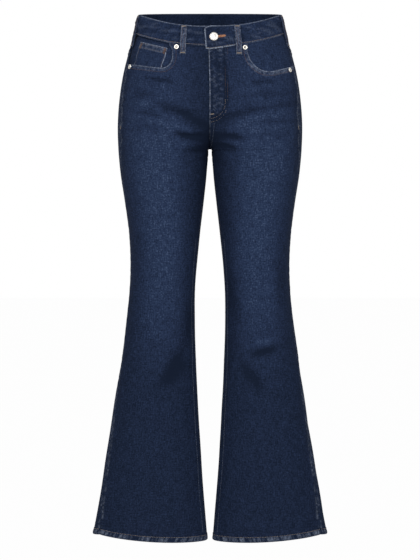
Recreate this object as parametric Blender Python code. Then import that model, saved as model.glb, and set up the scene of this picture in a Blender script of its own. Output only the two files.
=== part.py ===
"""Bootcut five-pocket jeans, filled out as if worn, with no wearer.

Blender 4.5, metres, +Z up. The front faces -Y and the wearer's left is +X. The origin is the middle
of the waist opening, where a waist holds the garment up.

Each half of the garment follows one skin: a stack of level sections whose sizes stand in SECTIONS.
A point on the skin has an "around" value and a height. Around runs from 0 at the inner front edge
(centre front seam, then inseam) through 1 at the side seam to 2 at the inner back edge. Each piece
of cloth is a flat slab that is laid on the skin, so pieces that lie on each other share its facets.
"""

import math

import bmesh
import bpy
import numpy as np
from mathutils import Vector

MM = 0.001
LEFT, RIGHT = 1, -1  # the wearer's sides

# Cloth and seams, in millimetres. "Out" is the distance outwards from the skin.
CLOTH = 1.2  # wall of a single layer of denim
SEAM = 0.3  # gap between pieces that are sewn edge to edge, and between layers
BAND_WALL = 2.6  # the waistband is two layers with an interlining
BAND_OUT = 1.3  # how far its outer face stands out from the panels
HEM_DEPTH = 13.0  # height of the turned-up hem
HEM_WALL = 3.0

# Heights, in millimetres from the origin.
CROTCH_Z = -251.6
BAND_TOP_SIDE, BAND_TOP_FRONT, BAND_TOP_BACK = 15.5, -10.2, 22.2
BAND_HEIGHT = 38.5
BAND_TONGUE, TONGUE_REACH = 8.0, 0.42  # the buttonhole end of the band is deeper, over this much around
YOKE_SIDE_Z, YOKE_CENTRE_Z = -60.0, -92.0
HEM_SIDE_Z, HEM_INNER_Z = -1030.0, -1044.0
HEM_BELLY = 5.0  # the hem is cut square to the flaring seams, so its middle hangs lower

# The fly, in millimetres.
FLY_TOP_X, FLY_STRAIGHT_Z = -3.0, -130.0  # its folded edge leans past the centre above this height
FLY_SHIELD_X = (-14.0, 40.0)
FLY_SHIELD_Z = -192.0
ZIP_X = (2.0, 30.0)
ZIP_Z = -180.0
ZIP_BEHIND, SHIELD_BEHIND = 0.9, 1.6  # clearances behind the front, besides the layers' own
UNDERLAP_X = 38.0  # how far the button end of the band runs behind the buttonhole end
UNDERLAP_COLUMNS = 2  # the same reach, in columns of the front
TONGUE_X = (-10.8, -7.2)  # the buttonhole end of the band, at its top and bottom
OVERLAP_BLEND = 34.0  # the two ends part from the panels over this distance

# Sections of one half, top to bottom, in millimetres. A leg is a closed loop between inner_x and
# outer_x, deepest at front_x and back_x. Above the crotch the loop is cut open at the middle.
# side_lead and inseam_lead say how far the seams lie in front of the widest points.
SECTION_COLUMNS = (
    "z", "inner_x", "outer_x", "outer_y", "front_x", "front_y", "back_x", "back_y", "inner_y",
    "side_lead", "inseam_lead",
)
SECTIONS = (
    (30, 0.0, 127.0, 2, 8, -80, 8, 86, 3, 16, 0),
    (15, 0.0, 140.3, 2, 9, -82, 9, 88, 3, 17, 0),
    (6, 0.0, 145.3, 2, 10, -83.3, 10, 89.3, 3, 17, 0),
    (-10, 0.0, 147.5, 2, 12, -85.5, 12, 92.4, 3, 18, 0),
    (-50, 0.0, 158.3, 3, 22, -94, 18, 104, 5, 22, 0),
    (-100, 0.0, 171.8, 5, 40, -101, 40, 121, 8, 28, 0),
    (-150, 0.0, 180.3, 6, 58, -104, 62, 133, 11, 32, 0),
    (-200, 0.0, 184.3, 8, 75, -102, 76, 135, 13, 34, 0),
    (-250, 0.0, 183.6, 10, 88, -97, 86, 126, 14, 33, 0),
    (-300, 3.0, 179.2, 10, 94, -91, 92, 108, 13, 30, 22),
    (-360, 9.3, 170.3, 8, 93, -84, 92, 97, 10, 25, 26),
    (-420, 16.4, 162.6, 5, 92, -77, 92, 86, 6, 19, 22),
    (-480, 22.8, 159.5, 3, 93, -71, 93, 76, 3, 14, 16),
    (-540, 26.6, 161.8, 1, 96, -66, 96, 68, 1, 11, 12),
    (-600, 26.9, 168.1, 0, 99, -62, 99, 63, 0, 12, 10),
    (-680, 24.6, 179.5, 2, 104, -57, 104, 63, 2, 15, 9),
    (-780, 20.0, 195.2, 4, 109, -53, 109, 62, 4, 18, 9),
    (-900, 13.0, 214.8, 5, 115.5, -48, 115.5, 57, 5, 21, 9),
    (-1060, 0.3, 242.9, 4, 123.4, -39, 123.4, 48, 4, 24, 9),
)
ROUNDNESS = 2.2  # exponent of the section's quarters: 2 is an ellipse, and more is squarer
FRONT_RISE = (92.0, 2.0)  # height over which the crotch curve opens, and its squareness
BACK_RISE = (140.0, 2.4)
ARCH = (3.4, 4.0)  # half width and height of the arch between the legs
FLATTEST = 20000.0  # semi-axis that stands for a straight stretch

# The largest folds, as soft troughs on the front. Ends are (x, z) in millimetres.
FOLD_COLUMNS = ("x0", "z0", "x1", "z1", "width", "depth")
FOLDS = (
    (-56, -664, -96, -724, 17, 3.0),
    (132, -648, 70, -672, 17, 2.8),
    (-14, -226, -78, -221, 11, 2.4),
    (14, -226, 66, -229, 11, 2.4),
)

# Levels of the panels' rows at the side seam, in millimetres.
UPPER_ROWS = (-24.0, -42.0, YOKE_SIDE_Z, -80.0, -100.0, -122.0, -150.0, -178.0, -204.0)
CROTCH_ROWS = (27.0, 14.0, 6.0, 1.5, 0.0, -2.5, -6.5, -24.0)  # above or below the crotch
LOWER_ROWS = (
    -318.0, -365.0, -415.0, -465.0, -515.0, -565.0, -610.0, -635.0, -658.0, -681.0, -706.0, -740.0,
    -800.0, -870.0, -945.0,
)
FRONT_COLUMNS, BACK_COLUMNS = 11, 11
FRONT_LEAN, BACK_LEAN = "ALTERNATE", "FIXED"  # facets lean with the columns above the crotch
LEVEL_AT = -120.0  # the front panel's rows are level from here down
BACK_LEVEL_AT = -150.0
EVEN_AT = -150.0  # height from which a panel's columns are evenly spaced
SQUEEZE = 0.65  # how far the columns next to the crotch curve may be squeezed

DENIM = (0.030, 0.044, 0.085)
DENIM_PALE = (0.055, 0.068, 0.11)
STEEL = (0.72, 0.71, 0.69)


# --- The skin -----------------------------------------------------------------------------------


def section_sizes(z):
    """The section's sizes at height z, read from SECTIONS by a smooth curve through each column."""
    rows = np.array(SECTIONS, float)[::-1]
    heights = rows[:, 0]
    slopes = np.gradient(rows, heights, axis=0)
    i = int(np.clip(np.searchsorted(heights, z) - 1, 0, len(heights) - 2))
    span = heights[i + 1] - heights[i]
    t = (z - heights[i]) / span
    low, high = rows[i], rows[i + 1]
    values = (
        (2 * t**3 - 3 * t**2 + 1) * low
        + (t**3 - 2 * t**2 + t) * span * slopes[i]
        + (3 * t**2 - 2 * t**3) * high
        + (t**3 - t**2) * span * slopes[i + 1]
    )
    return dict(zip(SECTION_COLUMNS, values))


def opening(height, rise):
    """How far the crotch curve has opened at a height above the crotch, from 0 to 1."""
    total, power = rise
    return (1 - (1 - min(height / total, 1)) ** power) ** (1 / power)


def quarter(centre, reach_x, reach_y, angles):
    """Points of a quarter of a squarish oval: reach_x from the centre at angle 0, reach_y at 90 degrees."""
    share = 2 / ROUNDNESS
    x = centre[0] + reach_x * np.cos(angles) ** share
    y = centre[1] + reach_y * np.sin(angles) ** share
    return np.stack([x, y], axis=1)


def inner_reach(deepest_x, edge_x, opened):
    """(semi-axis, first angle) of an inner quarter that ends at edge_x with its curve opened that far."""
    semi = min((deepest_x - edge_x) / max(1 - opened**ROUNDNESS, 1e-9) ** (1 / ROUNDNESS), FLATTEST)
    return semi, math.acos(min(((deepest_x - edge_x) / semi) ** (ROUNDNESS / 2), 1.0))


def half_section(z, samples=40):
    """One half's section: its front points from the inner edge to the side seam, its back points from
    there to the inner edge, and the length of each."""
    s = section_sizes(z)
    above = z - CROTCH_Z
    inner_x = SEAM / 2
    front_open = back_open = 0.0
    if above > 0:
        front_open, back_open = opening(above, FRONT_RISE), opening(above, BACK_RISE)
    else:
        half_width, height = ARCH
        inner_x += half_width * math.sqrt(1 - (1 - min(-above / height, 1)) ** 2) + max(s["inner_x"], 0)
    front_semi, front_start = inner_reach(s["front_x"], inner_x, front_open)
    back_semi, back_start = inner_reach(s["back_x"], inner_x, back_open)
    full = np.linspace(0, math.pi / 2, samples)
    front_inner = quarter(
        (s["front_x"], s["inner_y"]),
        -front_semi,
        s["front_y"] - s["inner_y"],
        np.linspace(front_start, math.pi / 2, samples),
    )
    front_outer = quarter(
        (s["front_x"], s["outer_y"]), s["outer_x"] - s["front_x"], s["front_y"] - s["outer_y"], full[::-1]
    )
    back_outer = quarter(
        (s["back_x"], s["outer_y"]), s["outer_x"] - s["back_x"], s["back_y"] - s["outer_y"], full
    )
    back_inner = quarter(
        (s["back_x"], s["inner_y"]),
        -back_semi,
        s["back_y"] - s["inner_y"],
        np.linspace(math.pi / 2, back_start, samples),
    )
    loop = np.concatenate([front_inner, front_outer[1:], back_outer[1:], back_inner[1:]])
    if above <= 0:
        loop = np.concatenate([loop, front_inner[1:]])
    run = np.concatenate([[0], np.cumsum(np.linalg.norm(np.diff(loop, axis=0), axis=1))])
    start = 0.0
    if above <= 0:
        start = float(np.interp(s["inseam_lead"], s["inner_y"] - front_inner[:, 1], run[:samples]))
    outer = slice(samples - 1, 2 * samples - 1)
    side = float(np.interp(s["outer_y"] - s["side_lead"], loop[outer, 1], run[outer]))
    end = run[-1] if above > 0 else run[4 * samples - 4] + start
    return resample(loop, run, start, side), resample(loop, run, side, end), side - start, end - side


def resample(loop, run, start, end, count=129):
    """Points of the loop at even steps of its length between two stations."""
    stations = np.linspace(start, end, count)
    return np.stack([np.interp(stations, run, loop[:, axis]) for axis in (0, 1)], axis=1)


def skin_levels():
    """Heights of the skin's sections: close together at the crotch, where the halves part."""
    near = np.array([0.05, 0.2, 0.5, 1.0, 1.6, 2.4, 3.2, 4.0, 6.0, 8.0, 11.0])
    even = np.concatenate([np.arange(-1062, CROTCH_Z - 12, 5), np.arange(CROTCH_Z + 14, 34, 5)])
    return np.sort(np.concatenate([even, CROTCH_Z - near, [CROTCH_Z], CROTCH_Z + near]))


LEVELS = skin_levels()
HALVES = [half_section(z) for z in LEVELS]
SKIN = np.stack([np.concatenate([front, back[1:]]) for front, back, _, _ in HALVES])
FRONT_WIDTHS = np.array([width for _, _, width, _ in HALVES])
BACK_WIDTHS = np.array([width for _, _, _, width in HALVES])


def base_point(around, z):
    """Points of the left half's skin, in millimetres. Below 0, around crosses to the other half."""
    position = np.clip(np.abs(around), 0, 2) * (SKIN.shape[1] - 1) / 2
    column = np.clip(position.astype(int), 0, SKIN.shape[1] - 2)
    row = np.clip(np.searchsorted(LEVELS, z) - 1, 0, len(LEVELS) - 2)
    across = (position - column)[:, None]
    up = ((z - LEVELS[row]) / (LEVELS[row + 1] - LEVELS[row]))[:, None]
    low = SKIN[row, column] * (1 - across) + SKIN[row, column + 1] * across
    high = SKIN[row + 1, column] * (1 - across) + SKIN[row + 1, column + 1] * across
    flat = low * (1 - up) + high * up
    return np.stack([np.where(around < 0, -flat[:, 0], flat[:, 0]), flat[:, 1], z], axis=1)


def fold_depth(x, z):
    """How far the front is pressed in by the folds at (x, z)."""
    depth = np.zeros_like(x)
    for row in FOLDS:
        f = dict(zip(FOLD_COLUMNS, row))
        start, way = np.array([f["x0"], f["z0"]]), np.array([f["x1"] - f["x0"], f["z1"] - f["z0"]])
        offset = np.stack([x, z], axis=1) - start
        along = np.clip(offset @ way / (way @ way), 0, 1)
        away = np.linalg.norm(offset - along[:, None] * way, axis=1)
        depth += f["depth"] * np.exp(-((away / f["width"]) ** 2))
    return depth


def drape(side, around, z, out):
    """World points, in metres, of points that lie "out" millimetres off the skin of one side."""
    around, z, out = np.broadcast_arrays(*(np.asarray(v, float) for v in (around, z, out)))
    step, rise = 0.006, 1.0
    back_off = np.where(around > 2 - step, step, 0)
    edge = np.where((around < step) & (around >= 0), 0, step)
    wide = base_point(around + step - back_off, z) - base_point(around - edge, z)
    tall = base_point(around, z + rise) - base_point(around, z - rise)
    normal = np.cross(tall, wide)
    normal /= np.linalg.norm(normal, axis=1)[:, None]
    point = base_point(around, z)
    outwards = (normal[:, :2] * (point[:, :2] - centre_line(point[:, 2]))).sum(axis=1)
    normal *= np.where(outwards < 0, -1, 1)[:, None]
    frontal = np.clip(-normal[:, 1], 0, 1)
    point = point + normal * (out - frontal * fold_depth(side * point[:, 0], point[:, 2]))[:, None]
    point[:, 0] *= side
    return point * MM


def centre_line(z):
    """A point inside the section at each height, to tell the skin's outer face by."""
    heights = [row[0] for row in reversed(SECTIONS)]
    inside = [(row[4], (row[5] + row[7]) / 2) for row in reversed(SECTIONS)]
    return np.stack([np.interp(z, heights, [p[axis] for p in inside]) for axis in (0, 1)], axis=1)


def around_at(x, z, back=False):
    """The around value at the horizontal place x, on the front or the back. Below 0 it lies past the middle."""
    stations = np.linspace(1, 2, 129) if back else np.linspace(0, 1, 129)
    found = []
    for one_x, one_z in zip(*np.broadcast_arrays(np.atleast_1d(x), np.atleast_1d(z))):
        places = base_point(stations, np.full(129, float(one_z)))[:, 0]
        if back:
            widest = int(places.argmax())
            found.append(np.interp(-abs(one_x), -places[widest:], stations[widest:]))
        else:
            found.append(math.copysign(np.interp(abs(one_x), places, stations), one_x))
    return np.array(found)


# --- Edges and rows ------------------------------------------------------------------------------


def band_top(around):
    """Height of the waistband's top edge: it slopes down from the back and dips further at the front."""
    y = base_point(around, np.zeros_like(around))[:, 1]
    sizes = section_sizes(0)
    slope = (BAND_TOP_BACK - BAND_TOP_SIDE) / sizes["back_y"]
    dip = BAND_TOP_FRONT - BAND_TOP_SIDE - slope * sizes["front_y"]
    return BAND_TOP_SIDE + slope * y + dip * np.clip(y / sizes["front_y"], 0, None) ** 3


def tongue_drop(around, side):
    """How much deeper the band is on the buttonhole side, towards the fly."""
    return BAND_TONGUE * np.clip(1 - around / TONGUE_REACH, 0, 1) ** 1.5 if side == LEFT else 0 * around


def waist_seam(around, side):
    """Height of the seam under the waistband."""
    return band_top(around) - BAND_HEIGHT - tongue_drop(around, side)


def yoke_seam(around):
    return YOKE_SIDE_Z + (YOKE_CENTRE_Z - YOKE_SIDE_Z) * (around - 1)


def hem_line(around):
    """Height of the hem: square to the leg, with its front and back middles lower."""
    across = np.where(around < 1, around, 2 - around)
    return HEM_INNER_Z + (HEM_SIDE_Z - HEM_INNER_Z) * across - HEM_BELLY * np.sin(math.pi * across)


ROWS = np.array(UPPER_ROWS + tuple(CROTCH_Z + r for r in CROTCH_ROWS) + LOWER_ROWS)


def row_heights(rows, q, around, top, level_at):
    """Heights of a panel's points: its first row follows the top edge, the lowest two the hem and its
    fold, and the rows between run level."""
    edges = np.append(rows, [HEM_SIDE_Z + HEM_DEPTH, HEM_SIDE_Z])
    index = np.rint(q * (len(edges) - 1)).astype(int)
    level = edges[index]
    fade = np.clip((level - level_at) / (rows[0] - level_at), 0, 1)
    height = level + fade * (top - rows[0])
    hem = hem_line(around) - HEM_SIDE_Z
    return height + hem * np.clip((-900 - level) / (-900 - HEM_SIDE_Z), 0, 1)


def spread(p, z, back=False):
    """The around value of a panel's columns at height z. Above the crotch they draw aside for its
    curve, the inner ones first, and are even again by EVEN_AT."""
    widths = BACK_WIDTHS if back else FRONT_WIDTHS
    width = np.interp(z, LEVELS, widths)
    full = np.interp(CROTCH_Z, LEVELS, widths)
    lost = np.where(z > CROTCH_Z, np.clip(full - width, 0.001, None), 0.001)
    fade = np.clip((EVEN_AT - z) / (EVEN_AT - CROTCH_Z), 0, 1)
    power = 1 + (np.clip(SQUEEZE * full / lost, 1, 8) - 1) * fade
    reach = 1 - p
    share = edge_share(z, back)
    around = share + (1 - 2 * share) * (1 - (full * reach - lost * reach**power) / (full - lost))
    return 2 - around if back else around


def edge_share(z, back=False):
    """Half a seam gap as a share of the panel's width at height z."""
    return SEAM / 2 / np.interp(z, LEVELS, BACK_WIDTHS if back else FRONT_WIDTHS)


# --- Making pieces -------------------------------------------------------------------------------


def cloth_material(name, colour):
    return material(name, colour, 0.85, 0.0)


def material(name, colour, roughness, metallic):
    made = bpy.data.materials.new(name)
    made.use_nodes = True
    shader = made.node_tree.nodes["Principled BSDF"]
    shader.inputs["Base Color"].default_value = (*colour, 1)
    shader.inputs["Roughness"].default_value = roughness
    shader.inputs["Metallic"].default_value = metallic
    return made


def finish(name, mesh, look):
    """A smooth-shaded object made from a bmesh, its faces turned outwards."""
    bmesh.ops.recalc_face_normals(mesh, faces=mesh.faces[:])
    if mesh.calc_volume(signed=True) < 0:
        bmesh.ops.reverse_faces(mesh, faces=mesh.faces[:])
    data = bpy.data.meshes.new(name)
    mesh.to_mesh(data)
    mesh.free()
    data.materials.append(look)
    data.shade_smooth()
    data.set_sharp_from_angle(angle=math.radians(40))
    made = bpy.data.objects.new(name, data)
    bpy.context.collection.objects.link(made)
    return made


def slab(name, columns, rows, look, lay, leaning=BACK_LEAN):
    """Cloth: a flat grid with a wall, whose points lay(p, q, inner) moves onto the garment.

    p and q run from 0 to 1, inner is 0 on the outer face and 1 on the inner one, and leaning picks
    the diagonal of the facets.
    """
    mesh = bmesh.new()
    bmesh.ops.create_grid(mesh, x_segments=columns, y_segments=rows, size=0.5)
    bmesh.ops.triangulate(mesh, faces=mesh.faces[:], quad_method=leaning)
    wall = bmesh.ops.extrude_face_region(mesh, geom=mesh.faces[:])["geom"]
    inner_face = [v for v in wall if isinstance(v, bmesh.types.BMVert)]
    bmesh.ops.translate(mesh, vec=(0, 0, 1), verts=inner_face)
    flat = np.array([v.co for v in mesh.verts])
    placed = lay(flat[:, 0] + 0.5, flat[:, 1] + 0.5, flat[:, 2])
    for vertex, point in zip(mesh.verts, placed):
        vertex.co = point
    return finish(name, mesh, look)


CUTTER_DEPTH = 0.3  # metres each way, past the front and the back


def prism(name, outline, depth=CUTTER_DEPTH):
    """A cutter: an outline of (x, z) in millimetres, drawn out along Y on both sides of the garment."""
    mesh = bmesh.new()
    face = mesh.faces.new([mesh.verts.new((x * MM, -depth, z * MM)) for x, z in outline])
    drawn = bmesh.ops.extrude_face_region(mesh, geom=[face])["geom"]
    far = [v for v in drawn if isinstance(v, bmesh.types.BMVert)]
    bmesh.ops.translate(mesh, vec=(0, 2 * depth, 0), verts=far)
    made = finish(name, mesh, CUTTER_LOOK)
    made.hide_render = True
    made.display_type = "WIRE"
    return made


def cut(piece, cutter, operation):
    modifier = piece.modifiers.new(operation.title(), "BOOLEAN")
    modifier.operation = operation
    modifier.object = cutter


def turned(name, profile, place, outwards, look, steps=20):
    """A round piece turned from (radius, height) points in millimetres, standing on place."""
    mesh = bmesh.new()
    points = [mesh.verts.new((r * MM, 0, h * MM)) for r, h in profile]
    edges = [mesh.edges.new(pair) for pair in zip(points, points[1:])]
    bmesh.ops.spin(
        mesh,
        geom=points + edges,
        cent=(0, 0, 0),
        axis=(0, 0, 1),
        angle=2 * math.pi,
        steps=steps,
        use_merge=True,
    )
    bmesh.ops.remove_doubles(mesh, verts=mesh.verts[:], dist=1e-6)
    made = finish(name, mesh, look)
    made.location = place
    made.rotation_mode = "QUATERNION"
    made.rotation_quaternion = outwards.to_track_quat("Z", "Y")
    return made


# --- Outlines ------------------------------------------------------------------------------------


def arc(centre, radius, start, end, steps=6):
    """Points of an arc, in degrees anticlockwise from +x."""
    angles = np.radians(np.linspace(start, end, steps + 1))
    return [(centre[0] + radius * math.cos(a), centre[1] + radius * math.sin(a)) for a in angles]


# Front pocket mouths: where the straight edges would cross, the slope of the lower edge, and the
# radius between them.
MOUTH_COLUMNS = ("corner_x", "corner_z", "slope", "radius")
MOUTHS = {LEFT: (75.0, -108.3, 0.235, 33.0), RIGHT: (74.5, -98.0, 0.2, 28.0)}
MOUTH_FLARE, MOUTH_FLARE_Z = 6.0, (-62.0, -48.0)  # the inner edge turns outwards by this, between these heights
MOUTH_OUTER_X = 210.0  # the outline closes here, outside the hip


def mouth_outline(side):
    """The pocket mouth as (x, z) points, closed above the waist seam and outside the side seam."""
    m = dict(zip(MOUTH_COLUMNS, MOUTHS[side]))
    lean = math.atan(m["slope"])
    x, z, radius = m["corner_x"], m["corner_z"], m["radius"]
    centre = (x + radius, z + m["slope"] * radius + radius / math.cos(lean))
    lower = arc(centre, radius, 180, 270 + math.degrees(lean))
    low, high = MOUTH_FLARE_Z
    flare = [(x + MOUTH_FLARE * s * s, low + (high - low) * s) for s in (1.0, 0.75, 0.5, 0.25)]
    outer = [(MOUTH_OUTER_X, z + m["slope"] * (MOUTH_OUTER_X - x)), (MOUTH_OUTER_X, 0.0)]
    outline = [(x + MOUTH_FLARE, 0.0), *flare, *lower, *outer]
    return [(side * px, pz) for px, pz in outline]


COIN_CORNER = (-138.3, -39.5)  # its upper outer corner
COIN_WIDTH, COIN_DEPTH = 56.4, 62.0
COIN_TILT, COIN_LEAN = math.radians(-14.0), math.radians(-16.8)  # of its top edge, and of its sides


def coin_outline():
    """The coin pocket's four corners as (x, z)."""
    across = np.array([math.cos(COIN_TILT), math.sin(COIN_TILT)])
    down = np.array([math.sin(COIN_LEAN), -math.cos(COIN_LEAN)])
    start = np.array(COIN_CORNER)
    corners = [(0, 0), (COIN_WIDTH, 0), (COIN_WIDTH, COIN_DEPTH), (0, COIN_DEPTH)]
    return [tuple(start + across * a + down * d) for a, d in corners]


BACK_POCKET = {
    "inner_x": 30.0,
    "outer_x": 146.0,
    "top_z": -118.0,
    "depth": 128.0,
    "point": 16.0,
    "taper": 9.0,
    "lean": 7.0,
}


def back_pocket_outline(side):
    """The back pocket as (x, z) points: a band-wide top, sides that draw in, and a blunt point."""
    b = BACK_POCKET
    middle = (b["inner_x"] + b["outer_x"]) / 2
    corners = [
        (b["inner_x"], b["top_z"] - b["lean"]),
        (b["outer_x"], b["top_z"]),
        (b["outer_x"] - b["taper"], b["top_z"] - b["depth"] + b["lean"]),
        (middle, b["top_z"] - b["depth"] - b["point"]),
        (b["inner_x"] + b["taper"], b["top_z"] - b["depth"]),
    ]
    return [(side * x, z) for x, z in corners]


BUTTON = (7.6, -32.4)  # (x, z) of its middle
BUTTONHOLE_END_X = 29.0
BUTTONHOLE_TILT = math.radians(5)
EYE_RADIUS, SLOT_HALF = 3.6, 1.3


def buttonhole_outline():
    """A keyhole: a round eye about the button's shank with a slot towards the side."""
    meet = math.degrees(math.asin(SLOT_HALF / EYE_RADIUS))
    eye = arc((0, 0), EYE_RADIUS, meet, 360 - meet, steps=12)
    reach = BUTTONHOLE_END_X - BUTTON[0]
    keyhole = eye + [(reach, -SLOT_HALF), (reach, SLOT_HALF)]
    cosine, sine = math.cos(BUTTONHOLE_TILT), math.sin(BUTTONHOLE_TILT)
    turn = np.array([[cosine, -sine], [sine, cosine]])
    return [tuple(turn @ point + BUTTON) for point in np.array(keyhole)]


# --- The garment's pieces ------------------------------------------------------------------------


def front_panel(side):
    """One front: the centre seam and inseam on its inner edge, the pocket mouth cut from its upper corner."""
    rows = ROWS

    def lay(p, q, inner):
        q = 1 - q
        top = waist_seam(p, side) - SEAM
        z = row_heights(rows, q, p, top, LEVEL_AT)
        # The buttonhole side's fly edge leans past the middle above FLY_STRAIGHT_Z.
        lean = FLY_TOP_X * np.clip((z - FLY_STRAIGHT_Z) / (BAND_TOP_FRONT - FLY_STRAIGHT_Z), 0, 1)
        around = spread(p, z) + side * lean / np.interp(z, LEVELS, FRONT_WIDTHS) * (1 - p)
        wall = np.where(q > 1 - 1.5 / (len(rows) + 1), HEM_WALL, CLOTH)
        return drape(side, around, z, -wall * inner)

    piece = slab(f"front_{SIDE_NAMES[side]}", FRONT_COLUMNS, len(rows) + 1, DENIM_LOOK, lay, FRONT_LEAN)
    cut(piece, prism(f"mouth_cutter_{SIDE_NAMES[side]}", mouth_outline(side)), "DIFFERENCE")
    return piece


def back_panel(side):
    """One back, from the yoke seam to the hem."""
    rows = ROWS[2:]

    def lay(p, q, inner):
        q = 1 - q
        z = row_heights(rows, q, 1 + p, yoke_seam(1 + p) - SEAM / 2, BACK_LEVEL_AT)
        wall = np.where(q > 1 - 1.5 / (len(rows) + 1), HEM_WALL, CLOTH)
        return drape(side, spread(1 - p, z, back=True), z, -wall * inner)

    return slab(f"back_{SIDE_NAMES[side]}", BACK_COLUMNS, len(rows) + 1, DENIM_LOOK, lay)


def yoke(side):
    """The back yoke, deeper at the centre back than at the side."""

    def lay(p, q, inner):
        top, bottom = waist_seam(1 + p, RIGHT) - SEAM, yoke_seam(1 + p) + SEAM / 2
        z = top + (bottom - top) * np.array([0, 0.5, 1])[np.rint(2 * (1 - q)).astype(int)]
        share = edge_share(z, back=True)
        return drape(side, 1 + share + p * (1 - 2 * share), z, -CLOTH * inner)

    return slab(f"yoke_{SIDE_NAMES[side]}", BACK_COLUMNS, 2, DENIM_LOOK, lay)


FACING_FIRST_COLUMN = 3
FACING_ROWS = 5
COIN_OUT = -(CLOTH + SEAM)  # outer face of the coin pocket, just under the front panel
FACING_OUT = {LEFT: -(CLOTH + SEAM), RIGHT: -(2 * CLOTH + 2 * SEAM)}


def pocket_layer(name, side, out, look):
    """Cloth behind a pocket mouth, on the front panel's own columns and rows, "out" from its face."""
    columns = FRONT_COLUMNS - FACING_FIRST_COLUMN

    def lay(p, q, inner):
        p = (FACING_FIRST_COLUMN + p * columns) / FRONT_COLUMNS
        q = (1 - q) * FACING_ROWS / (len(ROWS) + 1)
        z = row_heights(ROWS, q, p, waist_seam(p, side) - SEAM, LEVEL_AT)
        return drape(side, spread(p, z), z, out - CLOTH * inner)

    return slab(name, columns, FACING_ROWS, look, lay, FRONT_LEAN)


def pockets():
    """The facings that show in the pocket mouths, the coin pocket on the right one, and the back pockets."""
    for side in (LEFT, RIGHT):
        pocket_layer(f"pocket_facing_{SIDE_NAMES[side]}", side, FACING_OUT[side], DENIM_LOOK)
    coin = pocket_layer("coin_pocket", RIGHT, COIN_OUT, PALE_LOOK)
    cut(coin, prism("coin_cutter", coin_outline()), "INTERSECT")
    for side in (LEFT, RIGHT):
        back_pocket(side)


def back_pocket(side):
    """A patch pocket on the back panel's own facets."""
    rows = ROWS[2:]
    last = int(np.searchsorted(-rows, -CROTCH_Z)) + 3

    def lay(p, q, inner):
        q = (1 - q) * last / (len(rows) + 1)
        z = row_heights(rows, q, 1 + p, yoke_seam(1 + p) - SEAM / 2, BACK_LEVEL_AT)
        return drape(side, spread(1 - p, z, back=True), z, SEAM + CLOTH * (1 - inner))

    piece = slab(f"back_pocket_{SIDE_NAMES[side]}", BACK_COLUMNS, last, DENIM_LOOK, lay)
    cut(piece, behind_prism(f"back_pocket_cutter_{SIDE_NAMES[side]}", back_pocket_outline(side)), "INTERSECT")
    return piece


def behind_prism(name, outline):
    """A cutter that reaches only the back of the garment."""
    cutter = prism(name, outline)
    cutter.location.y = CUTTER_DEPTH + 30 * MM
    return cutter


def overlap(x, side):
    """How far the band's two ends part where they overlap at the fly, in millimetres outwards."""
    past = np.where(x < 0, TONGUE_X[0] - x, x - UNDERLAP_X)
    share = np.clip(1 - past / OVERLAP_BLEND, 0, 1)
    return side * (BAND_WALL + 2 * SEAM) / 2 * share * share * (3 - 2 * share)


def band_half(side):
    """Half the waistband, from its end at the fly to the centre back seam. The wearer's left end, with
    the buttonhole, laps over the right."""
    last = 2 - edge_share(0.0, back=True)
    front, back = np.linspace(0, 1, FRONT_COLUMNS + 1), np.linspace(1, last, BACK_COLUMNS + 1)
    past = -front[UNDERLAP_COLUMNS:0:-1] if side == RIGHT else [0]
    stations = np.concatenate([past, front, back[1:]])
    columns = len(stations) - 1

    def lay(p, q, inner):
        index = np.rint(p * columns).astype(int)
        around = stations[index]
        if side == LEFT:
            end_x = TONGUE_X[1] + (TONGUE_X[0] - TONGUE_X[1]) * q
            around = np.where(index == 0, end_x / np.interp(0, LEVELS, FRONT_WIDTHS), around)
        other = np.abs(around)
        top = band_top(other)
        deeper = tongue_drop(other, side)
        z = top - (BAND_HEIGHT + deeper) * (1 - q)
        x = side * np.sign(around) * base_point(other, z)[:, 0]
        out = BAND_OUT - BAND_WALL * inner + np.where(other < 1, overlap(x, side), 0)
        return drape(side, around, z, out)

    return slab(f"waistband_{SIDE_NAMES[side]}", columns, 2, DENIM_LOOK, lay)


LOOP_WIDTH, LOOP_WALL = 12.6, 1.9
LOOP_BELOW, SIDE_LOOP_BELOW = 19.0, 25.0  # how far a loop runs below the band
LOOP_SLACK = 1.3  # the loop's middle stands this far off the band
LOOP_PATH = ((0.0, 0.0), (0.16, 0.0), (0.36, 1.0), (0.56, 1.0), (0.74, 0.25), (0.88, -1.0), (1.0, -1.0))


def belt_loop(name, side, top_around, bottom_around, below=LOOP_BELOW):
    """A belt loop: its ends lie on the band's top and on the panel under the band, and its middle
    stands off a little."""

    def lay(p, q, inner):
        q = 1 - q
        middle = top_around + (bottom_around - top_around) * q
        seam = waist_seam(np.abs(middle), side)
        top = band_top(np.abs(middle)) - 0.5
        z = top + (seam - below - top) * q
        widths = np.where(middle < 1, np.interp(z, LEVELS, FRONT_WIDTHS), np.interp(z, LEVELS, BACK_WIDTHS))
        bow = np.interp(q, [s for s, _ in LOOP_PATH], [b for _, b in LOOP_PATH])
        stand = BAND_OUT + SEAM + np.where(bow > 0, LOOP_SLACK * bow, BAND_OUT * bow)
        around = middle + (p - 0.5) * LOOP_WIDTH / widths
        if top_around < 1:
            stand = stand + overlap(side * base_point(around, z)[:, 0], side) * np.clip(1 + bow, 0, 1)
        return drape(side, around, z, stand + LOOP_WALL * (1 - inner))

    return slab(name, 2, 10, PALE_LOOK, lay)


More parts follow.
